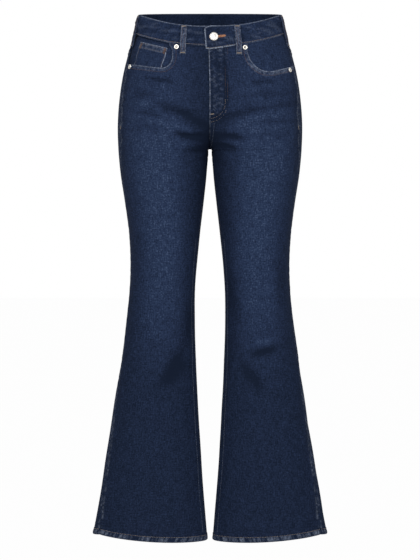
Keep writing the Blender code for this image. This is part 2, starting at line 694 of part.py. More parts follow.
def centre_back_loop():
    """The loop over the centre back seam, laid flat across both halves."""

    def lay(p, q, inner):
        q = 1 - q
        middle = np.full_like(q, 2.0)
        top, seam = band_top(middle), waist_seam(middle, RIGHT)
        z = top - 0.5 + (seam - LOOP_BELOW - top + 0.5) * q
        x = (p - 0.5) * LOOP_WIDTH
        bow = np.interp(q, [s for s, _ in LOOP_PATH], [b for _, b in LOOP_PATH])
        stand = BAND_OUT + SEAM + np.where(bow > 0, LOOP_SLACK * bow, BAND_OUT * bow)
        around = middle - np.abs(x) / np.interp(z, LEVELS, BACK_WIDTHS)
        placed = drape(LEFT, around, z, stand + LOOP_WALL * (1 - inner))
        placed[:, 0] = x * MM
        return placed

    return slab("belt_loop_back_centre", 2, 10, PALE_LOOK, lay)


# Where the belt loops stand: side, and the around value at the top and bottom end.
LOOP_PLACES = (
    ("belt_loop_front_left", LEFT, (52.4, -7.6), (56.8, -63.0)),
    ("belt_loop_front_right", RIGHT, (50.0, -8.6), (52.8, -63.0)),
)
SIDE_LOOP_AROUND = 0.955


def belt_loops():
    for name, side, top, bottom in LOOP_PLACES:
        belt_loop(name, side, *(float(around_at(x, z)[0]) for x, z in (top, bottom)))
    for side in (LEFT, RIGHT):
        around = SIDE_LOOP_AROUND
        belt_loop(f"belt_loop_side_{SIDE_NAMES[side]}", side, around, around, below=SIDE_LOOP_BELOW)
    centre_back_loop()


def fly_layer(name, x_span, top_z, bottom_z, out, look, columns, rows):
    """A strip behind the fly, between two places across the centre front."""

    def lay(p, q, inner):
        z = bottom_z + (top_z - bottom_z) * q
        x = x_span[0] + (x_span[1] - x_span[0]) * p
        around = x / np.interp(z, LEVELS, FRONT_WIDTHS)
        return drape(LEFT, around, z, out - CLOTH * inner)

    return slab(name, columns, rows, look, lay)


def fly():
    """The closed zip and the shield behind it, hung from the waist seam and hidden by the left front."""
    top = BAND_TOP_FRONT - BAND_HEIGHT - BAND_TONGUE - 1.0
    step = CLOTH + SEAM
    fly_layer("zip", ZIP_X, top, ZIP_Z, -step - ZIP_BEHIND, STEEL_LOOK, 2, 6)
    fly_layer("fly_shield", FLY_SHIELD_X, top, FLY_SHIELD_Z, -2 * step - SHIELD_BEHIND, DENIM_LOOK, 4, 7)


BUTTON_PROFILE = (
    (0.0, -2.5), (2.6, -2.5), (2.6, 0.6), (7.9, 0.6), (8.6, 1.3), (8.6, 2.2), (7.9, 3.0), (7.0, 3.0),
    (6.6, 2.5), (5.0, 2.7), (0.0, 3.0),
)
RIVET_PROFILE = (
    (0.0, 0.0), (4.8, 0.0), (4.8, 0.5), (4.0, 1.2), (2.4, 1.2), (1.7, 0.7), (1.2, 0.7), (0.8, 1.5),
    (0.0, 1.6),
)
RIVETS = (
    ("rivet_inner_left", 68.5, -52.5),
    ("rivet_outer_left", 158.0, -95.2),
    ("rivet_inner_right", -65.2, -51.5),
    ("rivet_outer_right", -158.2, -89.8),
)


def stand_on(x, z, out):
    """(place, outward direction) on the front at (x, z), that far off the skin."""
    side = LEFT if x > 0 else RIGHT
    around = around_at(abs(x), z)
    low, high = (Vector(drape(side, around, np.array([float(z)]), o)[0]) for o in (0, 10))
    return low + (high - low).normalized() * out * MM, (high - low).normalized()


def hardware():
    """The shank button, through its buttonhole, and the rivets at the ends of the pocket mouths."""
    place, outwards = stand_on(*BUTTON, BAND_OUT + overlap(np.array([BUTTON[0]]), LEFT)[0])
    turned("button", BUTTON_PROFILE, place, outwards, STEEL_LOOK, steps=20)
    for name, x, z in RIVETS:
        place, outwards = stand_on(x, z, SEAM)
        turned(name, RIVET_PROFILE, place, outwards, STEEL_LOOK, steps=12)


def jeans():
    for side in (LEFT, RIGHT):
        front_panel(side)
        back_panel(side)
        yoke(side)
    pockets()
    left_band = band_half(LEFT)
    cut(left_band, prism("buttonhole_cutter", buttonhole_outline(), depth=0.11), "DIFFERENCE")
    band_half(RIGHT)
    fly()
    belt_loops()
    hardware()


for old in list(bpy.data.objects):
    bpy.data.objects.remove(old)
SIDE_NAMES = {LEFT: "left", RIGHT: "right"}
DENIM_LOOK = cloth_material("dark_indigo_denim", DENIM)
PALE_LOOK = cloth_material("faded_indigo_denim", DENIM_PALE)
STEEL_LOOK = material("satin_steel", STEEL, 0.35, 1.0)
CUTTER_LOOK = material("cutter", (0.8, 0.1, 0.1), 0.5, 0.0)
jeans()
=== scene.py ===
"""Bootcut jeans dressed for view: fine cloth over the shape that the solids follow, with seams,
stitching, button and rivets, in plain studio light.

Sizes are in millimetres unless a name says otherwise. The front faces -Y and the wearer's left is +X.
A point on the cloth has an "around" value and a height. Around runs from 0 at the inner front edge
(centre front seam, then inseam) through 1 at the side seam to 2 at the inner back edge.
"""

import math

import bmesh
import bpy
import numpy as np
from mathutils import Matrix, Vector


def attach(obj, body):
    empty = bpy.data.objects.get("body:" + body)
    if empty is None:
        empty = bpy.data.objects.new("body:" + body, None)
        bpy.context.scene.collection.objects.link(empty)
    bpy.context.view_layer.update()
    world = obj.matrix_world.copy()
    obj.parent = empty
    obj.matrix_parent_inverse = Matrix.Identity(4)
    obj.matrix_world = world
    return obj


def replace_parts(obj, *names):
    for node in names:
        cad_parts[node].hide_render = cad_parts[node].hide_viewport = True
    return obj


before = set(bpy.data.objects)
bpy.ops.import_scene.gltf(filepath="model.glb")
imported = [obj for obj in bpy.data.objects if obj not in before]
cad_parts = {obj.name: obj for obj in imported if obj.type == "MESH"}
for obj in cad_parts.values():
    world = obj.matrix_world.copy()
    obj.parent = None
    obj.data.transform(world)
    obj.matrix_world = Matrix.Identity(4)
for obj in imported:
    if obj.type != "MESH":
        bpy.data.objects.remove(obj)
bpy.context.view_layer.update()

MM = 0.001
LEFT, RIGHT = 1, -1  # the wearer's sides


def sided(name, side):
    """A name with its side at the end."""
    return f"{name}_{'left' if side == LEFT else 'right'}"


# Cloth and seams. "Out" is the distance outwards from the skin.
CLOTH = 1.2  # thickness of the cloth
SEAM = 0.3  # gap between the solids at a seam
CLOTH_GAP = 0.2  # gap between the band and the cloth that hangs from it
BAND_WALL, BAND_OUT = 2.6, 1.3  # the band's thickness, and how far out its face lies
HEM_WALL = 3.0  # thickness of the turned-up hem
RIM_WIDTH = 10.5  # the stitched-down edge of a pocket mouth

CROTCH_Z = -251.6
BAND_TOP_SIDE, BAND_TOP_FRONT, BAND_TOP_BACK = 15.5, -10.2, 22.2  # heights of the band's top edge
BAND_HEIGHT = 38.5
BAND_TONGUE, TONGUE_REACH = 8.0, 0.42  # the band's extra depth at the buttonhole, and where it starts
YOKE_SIDE_Z, YOKE_CENTRE_Z = -60.0, -92.0
HEM_SIDE_Z, HEM_INNER_Z = -1030.0, -1044.0
HEM_BELLY = 5.0  # how much lower the hem is at the middle of a leg

FLY_TOP_X, FLY_STRAIGHT_Z = -3.0, -130.0  # the fly's edge leans out to the first above the second
FLY_SHIELD_X, FLY_SHIELD_Z = (-14.0, 40.0), -192.0
FLY_STITCH_X = (29.8, 34.4)  # the two rows of the J
FLY_TURN_Z = -160.0  # where they start to curve to the middle
FLY_END_Z = (-190.5, -197.5)  # where they reach it
CENTRE_LAP = 0.55  # how far the wearer's left front laps over the right one at the centre seam
UNDERLAP_X = 38.0  # reach of the band's right end behind the left one
TONGUE_X = (-10.8, -7.2)  # the band's left end, at its top and at its lower edge
OVERLAP_BLEND = 34.0  # length over which the band's layers come back together

SECTION_COLUMNS = (
    "z", "inner_x", "outer_x", "outer_y", "front_x", "front_y", "back_x", "back_y", "inner_y",
    "side_lead", "inseam_lead",
)
SECTIONS = (
    (30, 0.0, 127.0, 2, 8, -80, 8, 86, 3, 16, 0),
    (15, 0.0, 140.3, 2, 9, -82, 9, 88, 3, 17, 0),
    (6, 0.0, 145.3, 2, 10, -83.3, 10, 89.3, 3, 17, 0),
    (-10, 0.0, 147.5, 2, 12, -85.5, 12, 92.4, 3, 18, 0),
    (-50, 0.0, 159.6, 3, 22, -94, 18, 104, 5, 23, 0),
    (-100, 0.0, 172.9, 5, 40, -101, 40, 121, 8, 36, 0),
    (-150, 0.0, 181.0, 6, 58, -104, 62, 133, 11, 42, 0),
    (-200, 0.0, 184.9, 8, 75, -102, 76, 135, 13, 47, 0),
    (-250, 0.0, 184.1, 10, 88, -97, 86, 126, 14, 43, 0),
    (-300, 3.0, 179.8, 10, 94, -91, 92, 108, 13, 36, 22),
    (-360, 9.3, 170.8, 8, 93, -84, 92, 97, 10, 28, 26),
    (-420, 16.4, 163.0, 5, 92, -77, 92, 86, 6, 20, 22),
    (-480, 22.8, 159.8, 3, 93, -71, 93, 76, 3, 14, 16),
    (-540, 26.6, 162.1, 1, 96, -66, 96, 68, 1, 11, 12),
    (-600, 26.9, 168.3, 0, 99, -62, 99, 63, 0, 12, 10),
    (-680, 24.6, 180.3, 2, 104, -57, 104, 63, 2, 15, 9),
    (-780, 20.0, 195.6, 4, 109, -53, 109, 62, 4, 18, 9),
    (-900, 13.0, 215.2, 5, 115.5, -48, 115.5, 57, 5, 21, 9),
    (-1060, 0.3, 243.2, 4, 123.4, -39, 123.4, 48, 4, 24, 9),
)
ROUNDNESS = 2.2  # power of the squarish ovals that make a section
FRONT_RISE, BACK_RISE = (92.0, 2.0), (140.0, 2.4)  # height and power of the crotch curve's opening
ARCH = (3.4, 4.0)  # half-width and height of the arch between the legs
FLATTEST = 20000.0  # longest semi-axis of an inner quarter
EVEN_AT = -150.0  # above it a panel's columns are evenly spaced
SQUEEZE = 0.65  # how much narrower than the panel its inner columns may be drawn at the crotch
LEVEL_AT, BACK_LEVEL_AT = -120.0, -150.0  # below it a panel's rows are level

# Folds: soft troughs where depth is above 0, ridges below it. Ends are (x, z), and bow bends the middle
# upwards.
FOLD_COLUMNS = ("x0", "z0", "x1", "z1", "bow", "width", "depth")
FRONT_FOLDS = (
    (-10, -207, -112, -163, -8, 9, 2.6),
    (-30, -222, -96, -196, -4, 9, -0.9),
    (-4, -229, -68, -218, 3, 6, 3.6),
    (-8, -238, -58, -238, 2, 6, -1.0),
    (-4, -244, -46, -252, 2, 5, 1.2),
    (12, -196, 166, -161, 6, 8, 2.0),
    (30, -214, 110, -196, 4, 9, -0.8),
    (10, -226, 66, -230, 2, 6, 3.0),
    (12, -236, 62, -242, 2, 6, -0.9),
    (8, -240, 56, -252, 2, 5, 2.4),
    (-128, -111, -74, -119, 0, 4, 2.3),
    (-152, -142, -104, -146, 2, 8, 1.4),
    (-134, -160, -96, -166, 1, 5, -1.0),
    (-142, -180, -88, -190, 2, 5, 1.7),
    (-150, -205, -92, -212, 2, 8, 1.0),
    (82, -121, 128, -117, 0, 4, 1.9),
    (72, -149, 160, -142, 3, 8, 1.3),
    (88, -168, 140, -163, 2, 6, -0.9),
    (76, -201, 168, -195, 2, 5, 1.4),
    (84, -226, 150, -222, 2, 8, 0.9),
    (-56, -660, -90, -716, 3, 14, 3.2),
    (-40, -650, -80, -700, 3, 9, -0.9),
    (-38, -560, -46, -640, 0, 9, 1.0),
    (134, -643, 84, -659, 2, 8, 3.0),
    (134, -628, 84, -642, 2, 9, -0.9),
    (66, -680, 100, -728, 0, 11, 1.8),
    (94, -550, 124, -546, 0, 4, 0.9),
    (42, -500, 50, -592, 0, 10, 1.1),
    (138, -470, 142, -560, 0, 9, 0.9),
)
BACK_FOLDS = (
    (-18, -262, -92, -276, -6, 11, 2.0),
    (-40, -284, -110, -290, -6, 12, 1.3),
    (18, -262, 92, -276, -6, 11, 2.0),
    (40, -286, 112, -290, -6, 12, 1.3),
    (-48, -560, -132, -574, -4, 14, 1.6),
    (-60, -604, -140, -588, 4, 13, 1.5),
    (50, -564, 134, -572, -4, 14, 1.6),
    (58, -602, 138, -590, 4, 13, 1.5),
)


# --- Lines and falloffs ---


def soft(t):
    """A smooth step from 0 to 1 as t goes from 0 to 1."""
    t = np.clip(t, 0, 1)
    return t * t * (3 - 2 * t)


def near(distance, width):
    """A bell that is 1 at no distance and dies away over about that width."""
    return np.exp(-((distance / width) ** 2))


def run_along(points):
    """How far along a line of points each of them lies."""
    return np.concatenate([[0], np.cumsum(np.linalg.norm(np.diff(points, axis=0), axis=1))])


def at_stations(points, run, stations):
    """The places on a line of points at the given distances along it."""
    return np.stack([np.interp(stations, run, column) for column in points.T], axis=-1)


def square_to(ways):
    """Unit directions square to the given ones, to their right."""
    ways = ways / np.linalg.norm(ways, axis=1)[:, None]
    return np.stack([ways[:, 1], -ways[:, 0]], axis=1)


# --- The skin: two halves, each a stack of smooth sections ---


def section_sizes(z):
    """The section's sizes at height z, read from SECTIONS by a smooth curve through each column."""
    rows = np.array(SECTIONS, float)[::-1]
    heights = rows[:, 0]
    slopes = np.gradient(rows, heights, axis=0)
    i = int(np.clip(np.searchsorted(heights, z) - 1, 0, len(heights) - 2))
    span = heights[i + 1] - heights[i]
    t = (z - heights[i]) / span
    low, high = rows[i], rows[i + 1]
    values = (
        (2 * t**3 - 3 * t**2 + 1) * low
        + (t**3 - 2 * t**2 + t) * span * slopes[i]
        + (3 * t**2 - 2 * t**3) * high
        + (t**3 - t**2) * span * slopes[i + 1]
    )
    return dict(zip(SECTION_COLUMNS, values))


def opening(height, rise):
    """How far the crotch curve has opened at a height above the crotch, from 0 to 1."""
    total, power = rise
    return (1 - (1 - min(height / total, 1)) ** power) ** (1 / power)


def quarter(centre, reach_x, reach_y, angles):
    """A quarter of a squarish oval: reach_x from the centre at angle 0, reach_y at 90 degrees."""
    share = 2 / ROUNDNESS
    x = centre[0] + reach_x * np.cos(angles) ** share
    y = centre[1] + reach_y * np.sin(angles) ** share
    return np.stack([x, y], axis=1)


def inner_reach(deepest_x, edge_x, opened):
    """(semi-axis, first angle) of an inner quarter that ends at edge_x with its curve opened that far."""
    semi = min((deepest_x - edge_x) / max(1 - opened**ROUNDNESS, 1e-9) ** (1 / ROUNDNESS), FLATTEST)
    return semi, math.acos(min(((deepest_x - edge_x) / semi) ** (ROUNDNESS / 2), 1.0))


SKIN_COLUMNS = 257  # points of the front, and of the back, of each section


def half_section(z, samples=80):
    """One half's section: its front points from the inner edge to the side seam, its back points from
    there to the inner edge, and the length of each."""
    s = section_sizes(z)
    above = z - CROTCH_Z
    inner_x = SEAM / 2
    front_open = back_open = 0.0
    if above > 0:
        front_open, back_open = opening(above, FRONT_RISE), opening(above, BACK_RISE)
    else:
        half_width, height = ARCH
        arch = half_width * math.sqrt(1 - (1 - min(-above / height, 1)) ** 2)
        inner_x += arch + max(s["inner_x"], 0)
    front_semi, front_start = inner_reach(s["front_x"], inner_x, front_open)
    back_semi, back_start = inner_reach(s["back_x"], inner_x, back_open)

    def part(face, edge, reach_x, first, last):
        x, y, edge_y = s[f"{face}_x"], s[f"{face}_y"], s[f"{edge}_y"]
        return quarter((x, edge_y), reach_x, y - edge_y, np.linspace(first, last, samples))

    square = math.pi / 2
    front_inner = part("front", "inner", -front_semi, front_start, square)
    front_outer = part("front", "outer", s["outer_x"] - s["front_x"], 0, square)[::-1]
    back_outer = part("back", "outer", s["outer_x"] - s["back_x"], 0, square)
    back_inner = part("back", "inner", -back_semi, square, back_start)
    loop = np.concatenate([front_inner, front_outer[1:], back_outer[1:], back_inner[1:]])
    if above <= 0:
        loop = np.concatenate([loop, front_inner[1:]])
    run = run_along(loop)
    start = 0.0
    if above <= 0:
        start = float(np.interp(s["inseam_lead"], s["inner_y"] - front_inner[:, 1], run[:samples]))
    outer = slice(samples - 1, 2 * samples - 1)
    side = float(np.interp(s["outer_y"] - s["side_lead"], loop[outer, 1], run[outer]))
    end = run[-1] if above > 0 else run[4 * samples - 4] + start
    front = at_stations(loop, run, np.linspace(start, side, SKIN_COLUMNS))
    back = at_stations(loop, run, np.linspace(side, end, SKIN_COLUMNS))
    return front, back, side - start, end - side


def skin_levels():
    """Heights of the skin's sections: close together at the crotch, where the halves part."""
    gaps = np.array([0.05, 0.2, 0.5, 1.0, 1.6, 2.4, 3.2, 4.0, 6.0, 8.0, 11.0])
    even = np.concatenate([np.arange(-1065, CROTCH_Z - 12, 3), np.arange(CROTCH_Z + 13, 36, 3)])
    return np.sort(np.concatenate([even, CROTCH_Z - gaps, [CROTCH_Z], CROTCH_Z + gaps]))


# The skin as a grid of (x, y): a row for each level, its columns from the inner front edge by way of the
# side seam to the inner back edge.
LEVELS = skin_levels()
HALVES = [half_section(z) for z in LEVELS]
SKIN = np.stack([np.concatenate([front, back[1:]]) for front, back, _, _ in HALVES])
FRONT_WIDTHS = np.array([width for _, _, width, _ in HALVES])
BACK_WIDTHS = np.array([width for _, _, _, width in HALVES])


def base_point(around, z):
    """Points of one half's skin. Past its inner edges it goes on across the middle, or round the leg."""
    around, z = np.broadcast_arrays(np.asarray(around, float), np.asarray(z, float))
    past = (around < 0) | (around > 2)
    leg = z < CROTCH_Z
    wrapped = np.where(leg, np.mod(around, 2), np.where(around > 2, 4 - around, np.abs(around)))
    wrapped = np.where(past, wrapped, around)
    position = np.clip(wrapped, 0, 2) * (SKIN.shape[1] - 1) / 2
    column = np.clip(position.astype(int), 0, SKIN.shape[1] - 2)
    row = np.clip(np.searchsorted(LEVELS, z) - 1, 0, len(LEVELS) - 2)
    across = (position - column)[..., None]
    up = ((z - LEVELS[row]) / (LEVELS[row + 1] - LEVELS[row]))[..., None]
    low = SKIN[row, column] * (1 - across) + SKIN[row, column + 1] * across
    high = SKIN[row + 1, column] * (1 - across) + SKIN[row + 1, column + 1] * across
    flat = low * (1 - up) + high * up
    x = np.where(past & ~leg, -flat[..., 0], flat[..., 0])
    return np.stack([x, flat[..., 1], z], axis=-1)


def centre_line(z):
    """A point inside the section at each height, to tell the skin's outer face by."""
    columns = dict(zip(SECTION_COLUMNS, np.array(SECTIONS[::-1], float).T))
    inside = np.stack([columns["front_x"], (columns["front_y"] + columns["back_y"]) / 2], axis=1)
    return at_stations(inside, columns["z"], z)


def skin_frame(around, z):
    """Points and outward directions of one half's skin."""
    step, rise = 0.008, 1.5
    point = base_point(around, z)
    wide = base_point(around + step, z) - base_point(around - step, z)
    tall = base_point(around, z + rise) - base_point(around, z - rise)
    normal = np.cross(tall, wide)
    normal /= np.linalg.norm(normal, axis=-1)[..., None]
    inside = centre_line(z)
    inside[..., 0] = np.where(point[..., 0] < 0, -inside[..., 0], inside[..., 0])
    outwards = (normal[..., :2] * (point[..., :2] - inside)).sum(axis=-1)
    return point, normal * np.where(outwards < 0, -1, 1)[..., None]


def drape(side, around, z, out):
    """World points, in metres, of points that lie "out" millimetres off the cloth of one side."""
    around, z, out = np.broadcast_arrays(*(np.asarray(v, float) for v in (around, z, out)))
    point, normal = skin_frame(around, z)
    stand = out + swell(side, around, z, side * point[..., 0], normal[..., 1])
    placed = point + normal * stand[..., None]
    return placed * (side, 1, 1) * MM


def around_of(x, z, back=False):
    """The around value at the place x across one half, on its front or its back. Where x is below 0 it
    lies past the middle."""
    x, z = np.broadcast_arrays(np.asarray(x, float), np.asarray(z, float))
    low, high = np.full(x.shape, 1.12 if back else 0.0), np.full(x.shape, 2.0 if back else 1.0)
    for _ in range(24):
        middle = (low + high) / 2
        beyond = base_point(middle, z)[..., 0] > np.abs(x)
        inner = beyond if back else ~beyond
        low, high = np.where(inner, middle, low), np.where(inner, high, middle)
    found = (low + high) / 2
    if back:
        return np.where(x < 0, 4 - found, found)
    return np.where(x < 0, -found, found)


def front_width(z):
    """Width of one front at height z, measured along the cloth."""
    return np.interp(z, LEVELS, FRONT_WIDTHS)


def back_width(z):
    """Width of one back at height z, measured along the cloth."""
    return np.interp(z, LEVELS, BACK_WIDTHS)


def width_at(around, z):
    """Width of the front or the back, whichever has the around value."""
    return np.where(around < 1, front_width(z), back_width(z))


# --- Edges and seams ---


def band_top(around):
    """Height of the waistband's top edge: it slopes down from the back and dips further at the front."""
    y = base_point(around, np.zeros_like(around))[..., 1]
    sizes = section_sizes(0)
    slope = (BAND_TOP_BACK - BAND_TOP_SIDE) / sizes["back_y"]
    dip = BAND_TOP_FRONT - BAND_TOP_SIDE - slope * sizes["front_y"]
    return BAND_TOP_SIDE + slope * y + dip * np.clip(y / sizes["front_y"], 0, None) ** 3


def tongue_drop(around, side):
    """How much deeper the band is on the buttonhole side, towards the fly."""
    if side == RIGHT:
        return 0 * np.abs(around)
    return BAND_TONGUE * np.clip(1 - np.abs(around) / TONGUE_REACH, 0, 1) ** 1.5


def waist_seam(around, side):
    """Height of the band's lower edge."""
    return band_top(around) - BAND_HEIGHT - tongue_drop(around, side)


def cloth_top(around, side):
    """Height of the top edge of the cloth that hangs from the band."""
    return waist_seam(around, side) - CLOTH_GAP


def yoke_seam(around):
    """Height of the seam between yoke and back, lower at the middle."""
    return YOKE_SIDE_Z + (YOKE_CENTRE_Z - YOKE_SIDE_Z) * (around - 1)


def yoke_edge(around):
    """Height of the yoke's lower edge, which laps over the seam."""
    return yoke_seam(around) - 0.6


def hem_line(around):
    """Height of the hem: square to the leg, with its front and back middles lower."""
    across = np.where(around < 1, around, 2 - around)
    return HEM_INNER_Z + (HEM_SIDE_Z - HEM_INNER_Z) * across - HEM_BELLY * np.sin(math.pi * across)


def overlap(x, side):
    """How far the band's two ends part where they overlap at the fly, in millimetres outwards."""
    past = np.where(x < 0, TONGUE_X[0] - x, x - UNDERLAP_X)
    return side * (BAND_WALL + 2 * SEAM) / 2 * soft(1 - past / OVERLAP_BLEND)


def spread(p, z, back=False):
    """The around value of a panel's columns at height z. Above the crotch they draw aside for its
    curve, the inner ones first, and are even again by EVEN_AT."""
    width = back_width(z) if back else front_width(z)
    full = back_width(CROTCH_Z) if back else front_width(CROTCH_Z)
    lost = np.where(z > CROTCH_Z, np.clip(full - width, 0.001, None), 0.001)
    fade = np.clip((EVEN_AT - z) / (EVEN_AT - CROTCH_Z), 0, 1)
    power = 1 + (np.clip(SQUEEZE * full / lost, 1, 8) - 1) * fade
    reach = 1 - p
    around = 1 - (full * reach - lost * reach**power) / (full - lost)
    return 2 - around if back else around


# --- Relief: what makes the cloth stand off the plain skin ---


def uneven(u, v, across, along, seed, waves=10):
    """Unevenness about 1 high, of waves whose lengths scatter round across and along, in millimetres."""
    chance = np.random.default_rng(seed)
    total = 0
    for _ in range(waves):
        rates = chance.normal(0, 1, 2)
        phase = 2 * math.pi * (u * rates[0] / across + v * rates[1] / along)
        total = total + np.sin(phase + chance.uniform(0, 7))
    return total / math.sqrt(waves / 2)


def fold_depth(x, z, folds):
    """How far the cloth is pressed in by the folds at (x, z). Their ends die away softly."""
    depth = np.zeros_like(x)
    for row in folds:
        f = dict(zip(FOLD_COLUMNS, row))
        way = np.array([f["x1"] - f["x0"], f["z1"] - f["z0"]])
        length = math.hypot(*way)
        offset = np.stack([x - f["x0"], z - f["z0"]], axis=-1)
        along = offset @ way / length**2
        away = (offset @ np.array([-way[1], way[0]])) / length - f["bow"] * 4 * along * (1 - along)
        beyond = np.where(along < 0, -along, np.clip(along - 1, 0, None)) * length
        taper = 0.35 + 0.65 * np.sin(math.pi * np.clip(along, 0, 1)) ** 0.7
        depth += f["depth"] * taper * np.exp(-((away / f["width"]) ** 2) - (beyond / f["width"]) ** 2)
    return depth


def fly_reach(x, z, row):
    """How far out (x, z) lies towards one of the rows of the J, which is at 1."""
    turn = np.clip((FLY_TURN_Z - z) / (FLY_TURN_Z - FLY_END_Z[row]), 0, None)
    return np.sqrt((x / FLY_STITCH_X[row]) ** 2 + turn**2)


def fly_share(x, z):
    """1 within the J of the fly's stitching, falling to 0 outside it."""
    return soft((1.06 - fly_reach(x, z, 1)) / 0.12)


def swell(side, around, z, x, way_y):
    """How far the cloth stands off the plain skin. way_y is the y of its outward direction."""
    frontal, rear = np.clip(-way_y, 0, 1), np.clip(way_y, 0, 1)
    stand = -frontal * fold_depth(x, z, FRONT_FOLDS) - rear * fold_depth(x, z, BACK_FOLDS)
    run = around * front_width(z)
    hips = soft((z + 420) / 200) * soft((-20 - z) / 70)
    legs = soft((-330 - z) / 200) * soft((z + 1044) / 60)
    seed = 3 if side == LEFT else 8
    calm = soft(np.minimum(around, 2 - around) / 0.14)
    level = soft(np.abs(way_y) / 0.5)
    stand = stand + 0.8 * calm * level * hips * uneven(run, z, 120, 36, seed=seed)
    drape_height = 0.6 + 0.5 * soft((-700 - z) / 300)
    stand = stand + drape_height * calm * legs * uneven(run, z, 70, 330, seed=seed + 1)
    under = cloth_top(np.clip(np.abs(around), 0, 2), side) - z
    groove = 0.8 * near(under, 2.0)
    return stand + soft(under / 0.6) * (seam_relief(side, around, z, x) - groove)


def seam_relief(side, around, z, x):
    """Ridges where the seams' turnings lie under the cloth, and the steps at the fly."""
    leg = z < CROTCH_Z
    front_edge = np.abs(around) * front_width(z)
    back_edge = np.abs(2 - around) * back_width(z)
    side_edge = np.abs(around - 1) * width_at(around, z)
    pucker = 1 + 0.35 * uneven(front_edge + back_edge, z, 60, 13, seed=21)

    def ridge(edge, width):
        return soft((width - edge) / 2.0) * soft(edge / 0.8)

    inseam = np.where(leg & (around < 1), ridge(front_edge, 13.5), 0) * 0.6 * pucker
    rise = np.where(~leg, ridge(back_edge, 10), 0) * 0.6 * pucker
    beside = 0.3 * soft((12 - side_edge) / 3) * (1 + 0.4 * uneven(side_edge, z, 50, 16, seed=22))
    stand = inseam + rise + np.where(leg | (side_edge < 20), beside - 0.8 * near(side_edge, 1.3), 0)
    if side == LEFT:
        fly = fly_share(np.maximum(x, 0), z) * np.where(around < 0.5, 1, 0)
        ripple = 0.5 * uneven(x, z + 0.15 * x, 45, 13, seed=31) * soft(x / 5) * soft((44 - x) / 8)
        ripple = ripple + 0.45 * uneven(x, z, 30, 8, seed=33) * near(x - 34, 5)
        turning = np.where(~leg & (around < 1), soft((9.5 - front_edge) / 2), 0)
        below = turning * (1 - fly) * 0.55 * pucker
        edge = np.where(around < 1, near(front_edge, 5), 0) * np.where(leg, 0, 1.0)
        for row in (0, 1):
            off = (fly_reach(np.maximum(x, 0), z, row) - 1) * FLY_STITCH_X[row]
            edge = edge - np.where(around < 0.5, 0.7 * near(off, 1.4), 0)
        stand = stand + fly * (0.45 + ripple) + below + edge
    else:
        dip = np.where((around < 1) & ~leg, near(front_edge, 6), 0)
        stand = stand - 1.1 * dip
    return stand


# The fade down the middle of each leg: height, middle, reach to each side, and how strong it is.
FADES = (
    (-1060, 120, 70, 0.05), (-900, 114, 70, 0.07), (-720, 106, 52, 0.09), (-650, 102, 46, 0.25),
    (-560, 98, 47, 0.43), (-450, 91, 49, 0.475), (-400, 96, 53, 0.485), (-300, 106, 62, 0.505),
    (-200, 112, 74, 0.475), (-120, 112, 80, 0.38), (-60, 106, 84, 0.30), (0, 100, 90, 0.29),
)
FADE_ALL_OVER = 0.16
FADE_AT_BACK = 0.85  # strength of the fade at the back, as a share of that at the front
# Dye kept in a fold's crease, with painted shade there as well.
CREASE_DYE_AND_SHADE = 0.20  # fade that a millimetre of a fold's depth takes away


def fade_at(around, z, x):
    """How rubbed and washed the dye is, from 0 (as dyed) to 1: most along the front and back of each
    thigh, least at the crotch, where it is lowered further as painted shade."""
    heights, middles, reaches, amounts = zip(*FADES)
    off = (np.abs(x) - np.interp(z, heights, middles)) / np.interp(z, heights, reaches)
    amount = np.interp(z, heights, amounts) * np.exp(-np.abs(off) ** 3)
    # Painted shade round the crotch, taken off the fade.
    kept = 0.17 * np.exp(-((x / 24) ** 2) - ((z - CROTCH_Z - 12) / 34) ** 2)
    amount = np.where(around < 1, amount, FADE_AT_BACK * amount)
    return FADE_ALL_OVER - kept + amount * soft(np.abs(around - 1) / 0.15)


def seam_wear(edge, z, seed):
    """Rubbed tops of the puckers that stand along a seam, edge millimetres from it."""
    tops = np.clip(0.09 + 0.14 * uneven(edge, z, 30, 9, seed=seed), 0, 1)
    return tops * soft((8 - edge) / 4) * soft(edge / 1.2)


def painted_shadow_below_band(around, side, z, width=3.0):
    """Painted shadow that the waistband's lower edge casts on the cloth below it, as a wear below 0."""
    below = np.clip(cloth_top(around, side) - z, 0, None)
    return -0.24 * near(below, width)


LONGEST_SEAM = 320.0  # no dented seam is longer


def dents(run, seed, pitch, width):
    """Closeness, from 0 to 1, to stations along a seam that lie unevenly about a pitch apart."""
    chance = np.random.default_rng(seed)
    stations = np.cumsum(chance.uniform(0.55, 1.45, int(LONGEST_SEAM / pitch)) * pitch) - pitch
    return sum(near(run - station, width) for station in stations)


# --- Making pieces ---


def graded(count, crowd=0.7):
    """Stations from 0 to 1 that stand closer together towards both ends."""
    t = np.linspace(0, 1, count)
    return t - crowd * np.sin(2 * math.pi * t) / (2 * math.pi)


def put(name, data):
    """A new object in the scene."""
    made = bpy.data.objects.new(name, data)
    bpy.context.collection.objects.link(made)
    return made


def mesh_from(mesh, name):
    """The mesh that a bmesh describes. The bmesh is freed."""
    data = bpy.data.meshes.new(name)
    mesh.to_mesh(data)
    mesh.free()
    return data


def face_outwards(mesh):
    """Turns the faces of a closed bmesh outwards."""
    bmesh.ops.recalc_face_normals(mesh, faces=mesh.faces[:])
    if mesh.calc_volume(signed=True) < 0:
        bmesh.ops.reverse_faces(mesh, faces=mesh.faces[:])


def extrude(mesh, faces, by):
    """Draws faces of a bmesh out into a wall, and moves the drawn ones by a vector."""
    drawn = bmesh.ops.extrude_face_region(mesh, geom=faces)["geom"]
    moved = [v for v in drawn if isinstance(v, bmesh.types.BMVert)]
    bmesh.ops.translate(mesh, vec=by, verts=moved)


def finish(name, mesh, looks, sharp=45):
    """A smooth-shaded piece made from a closed bmesh, with edges over sharp degrees kept sharp."""
    face_outwards(mesh)
    data = mesh_from(mesh, name)
    for look in looks:
        data.materials.append(look)
    data.shade_smooth()
    data.set_sharp_from_angle(angle=math.radians(sharp))
    made = put(name, data)
    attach(made, "root")
    return made


def stands_for(piece, node):
    """The piece, once the solid that it is shown instead of is hidden."""
    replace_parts(piece, node)
    return piece


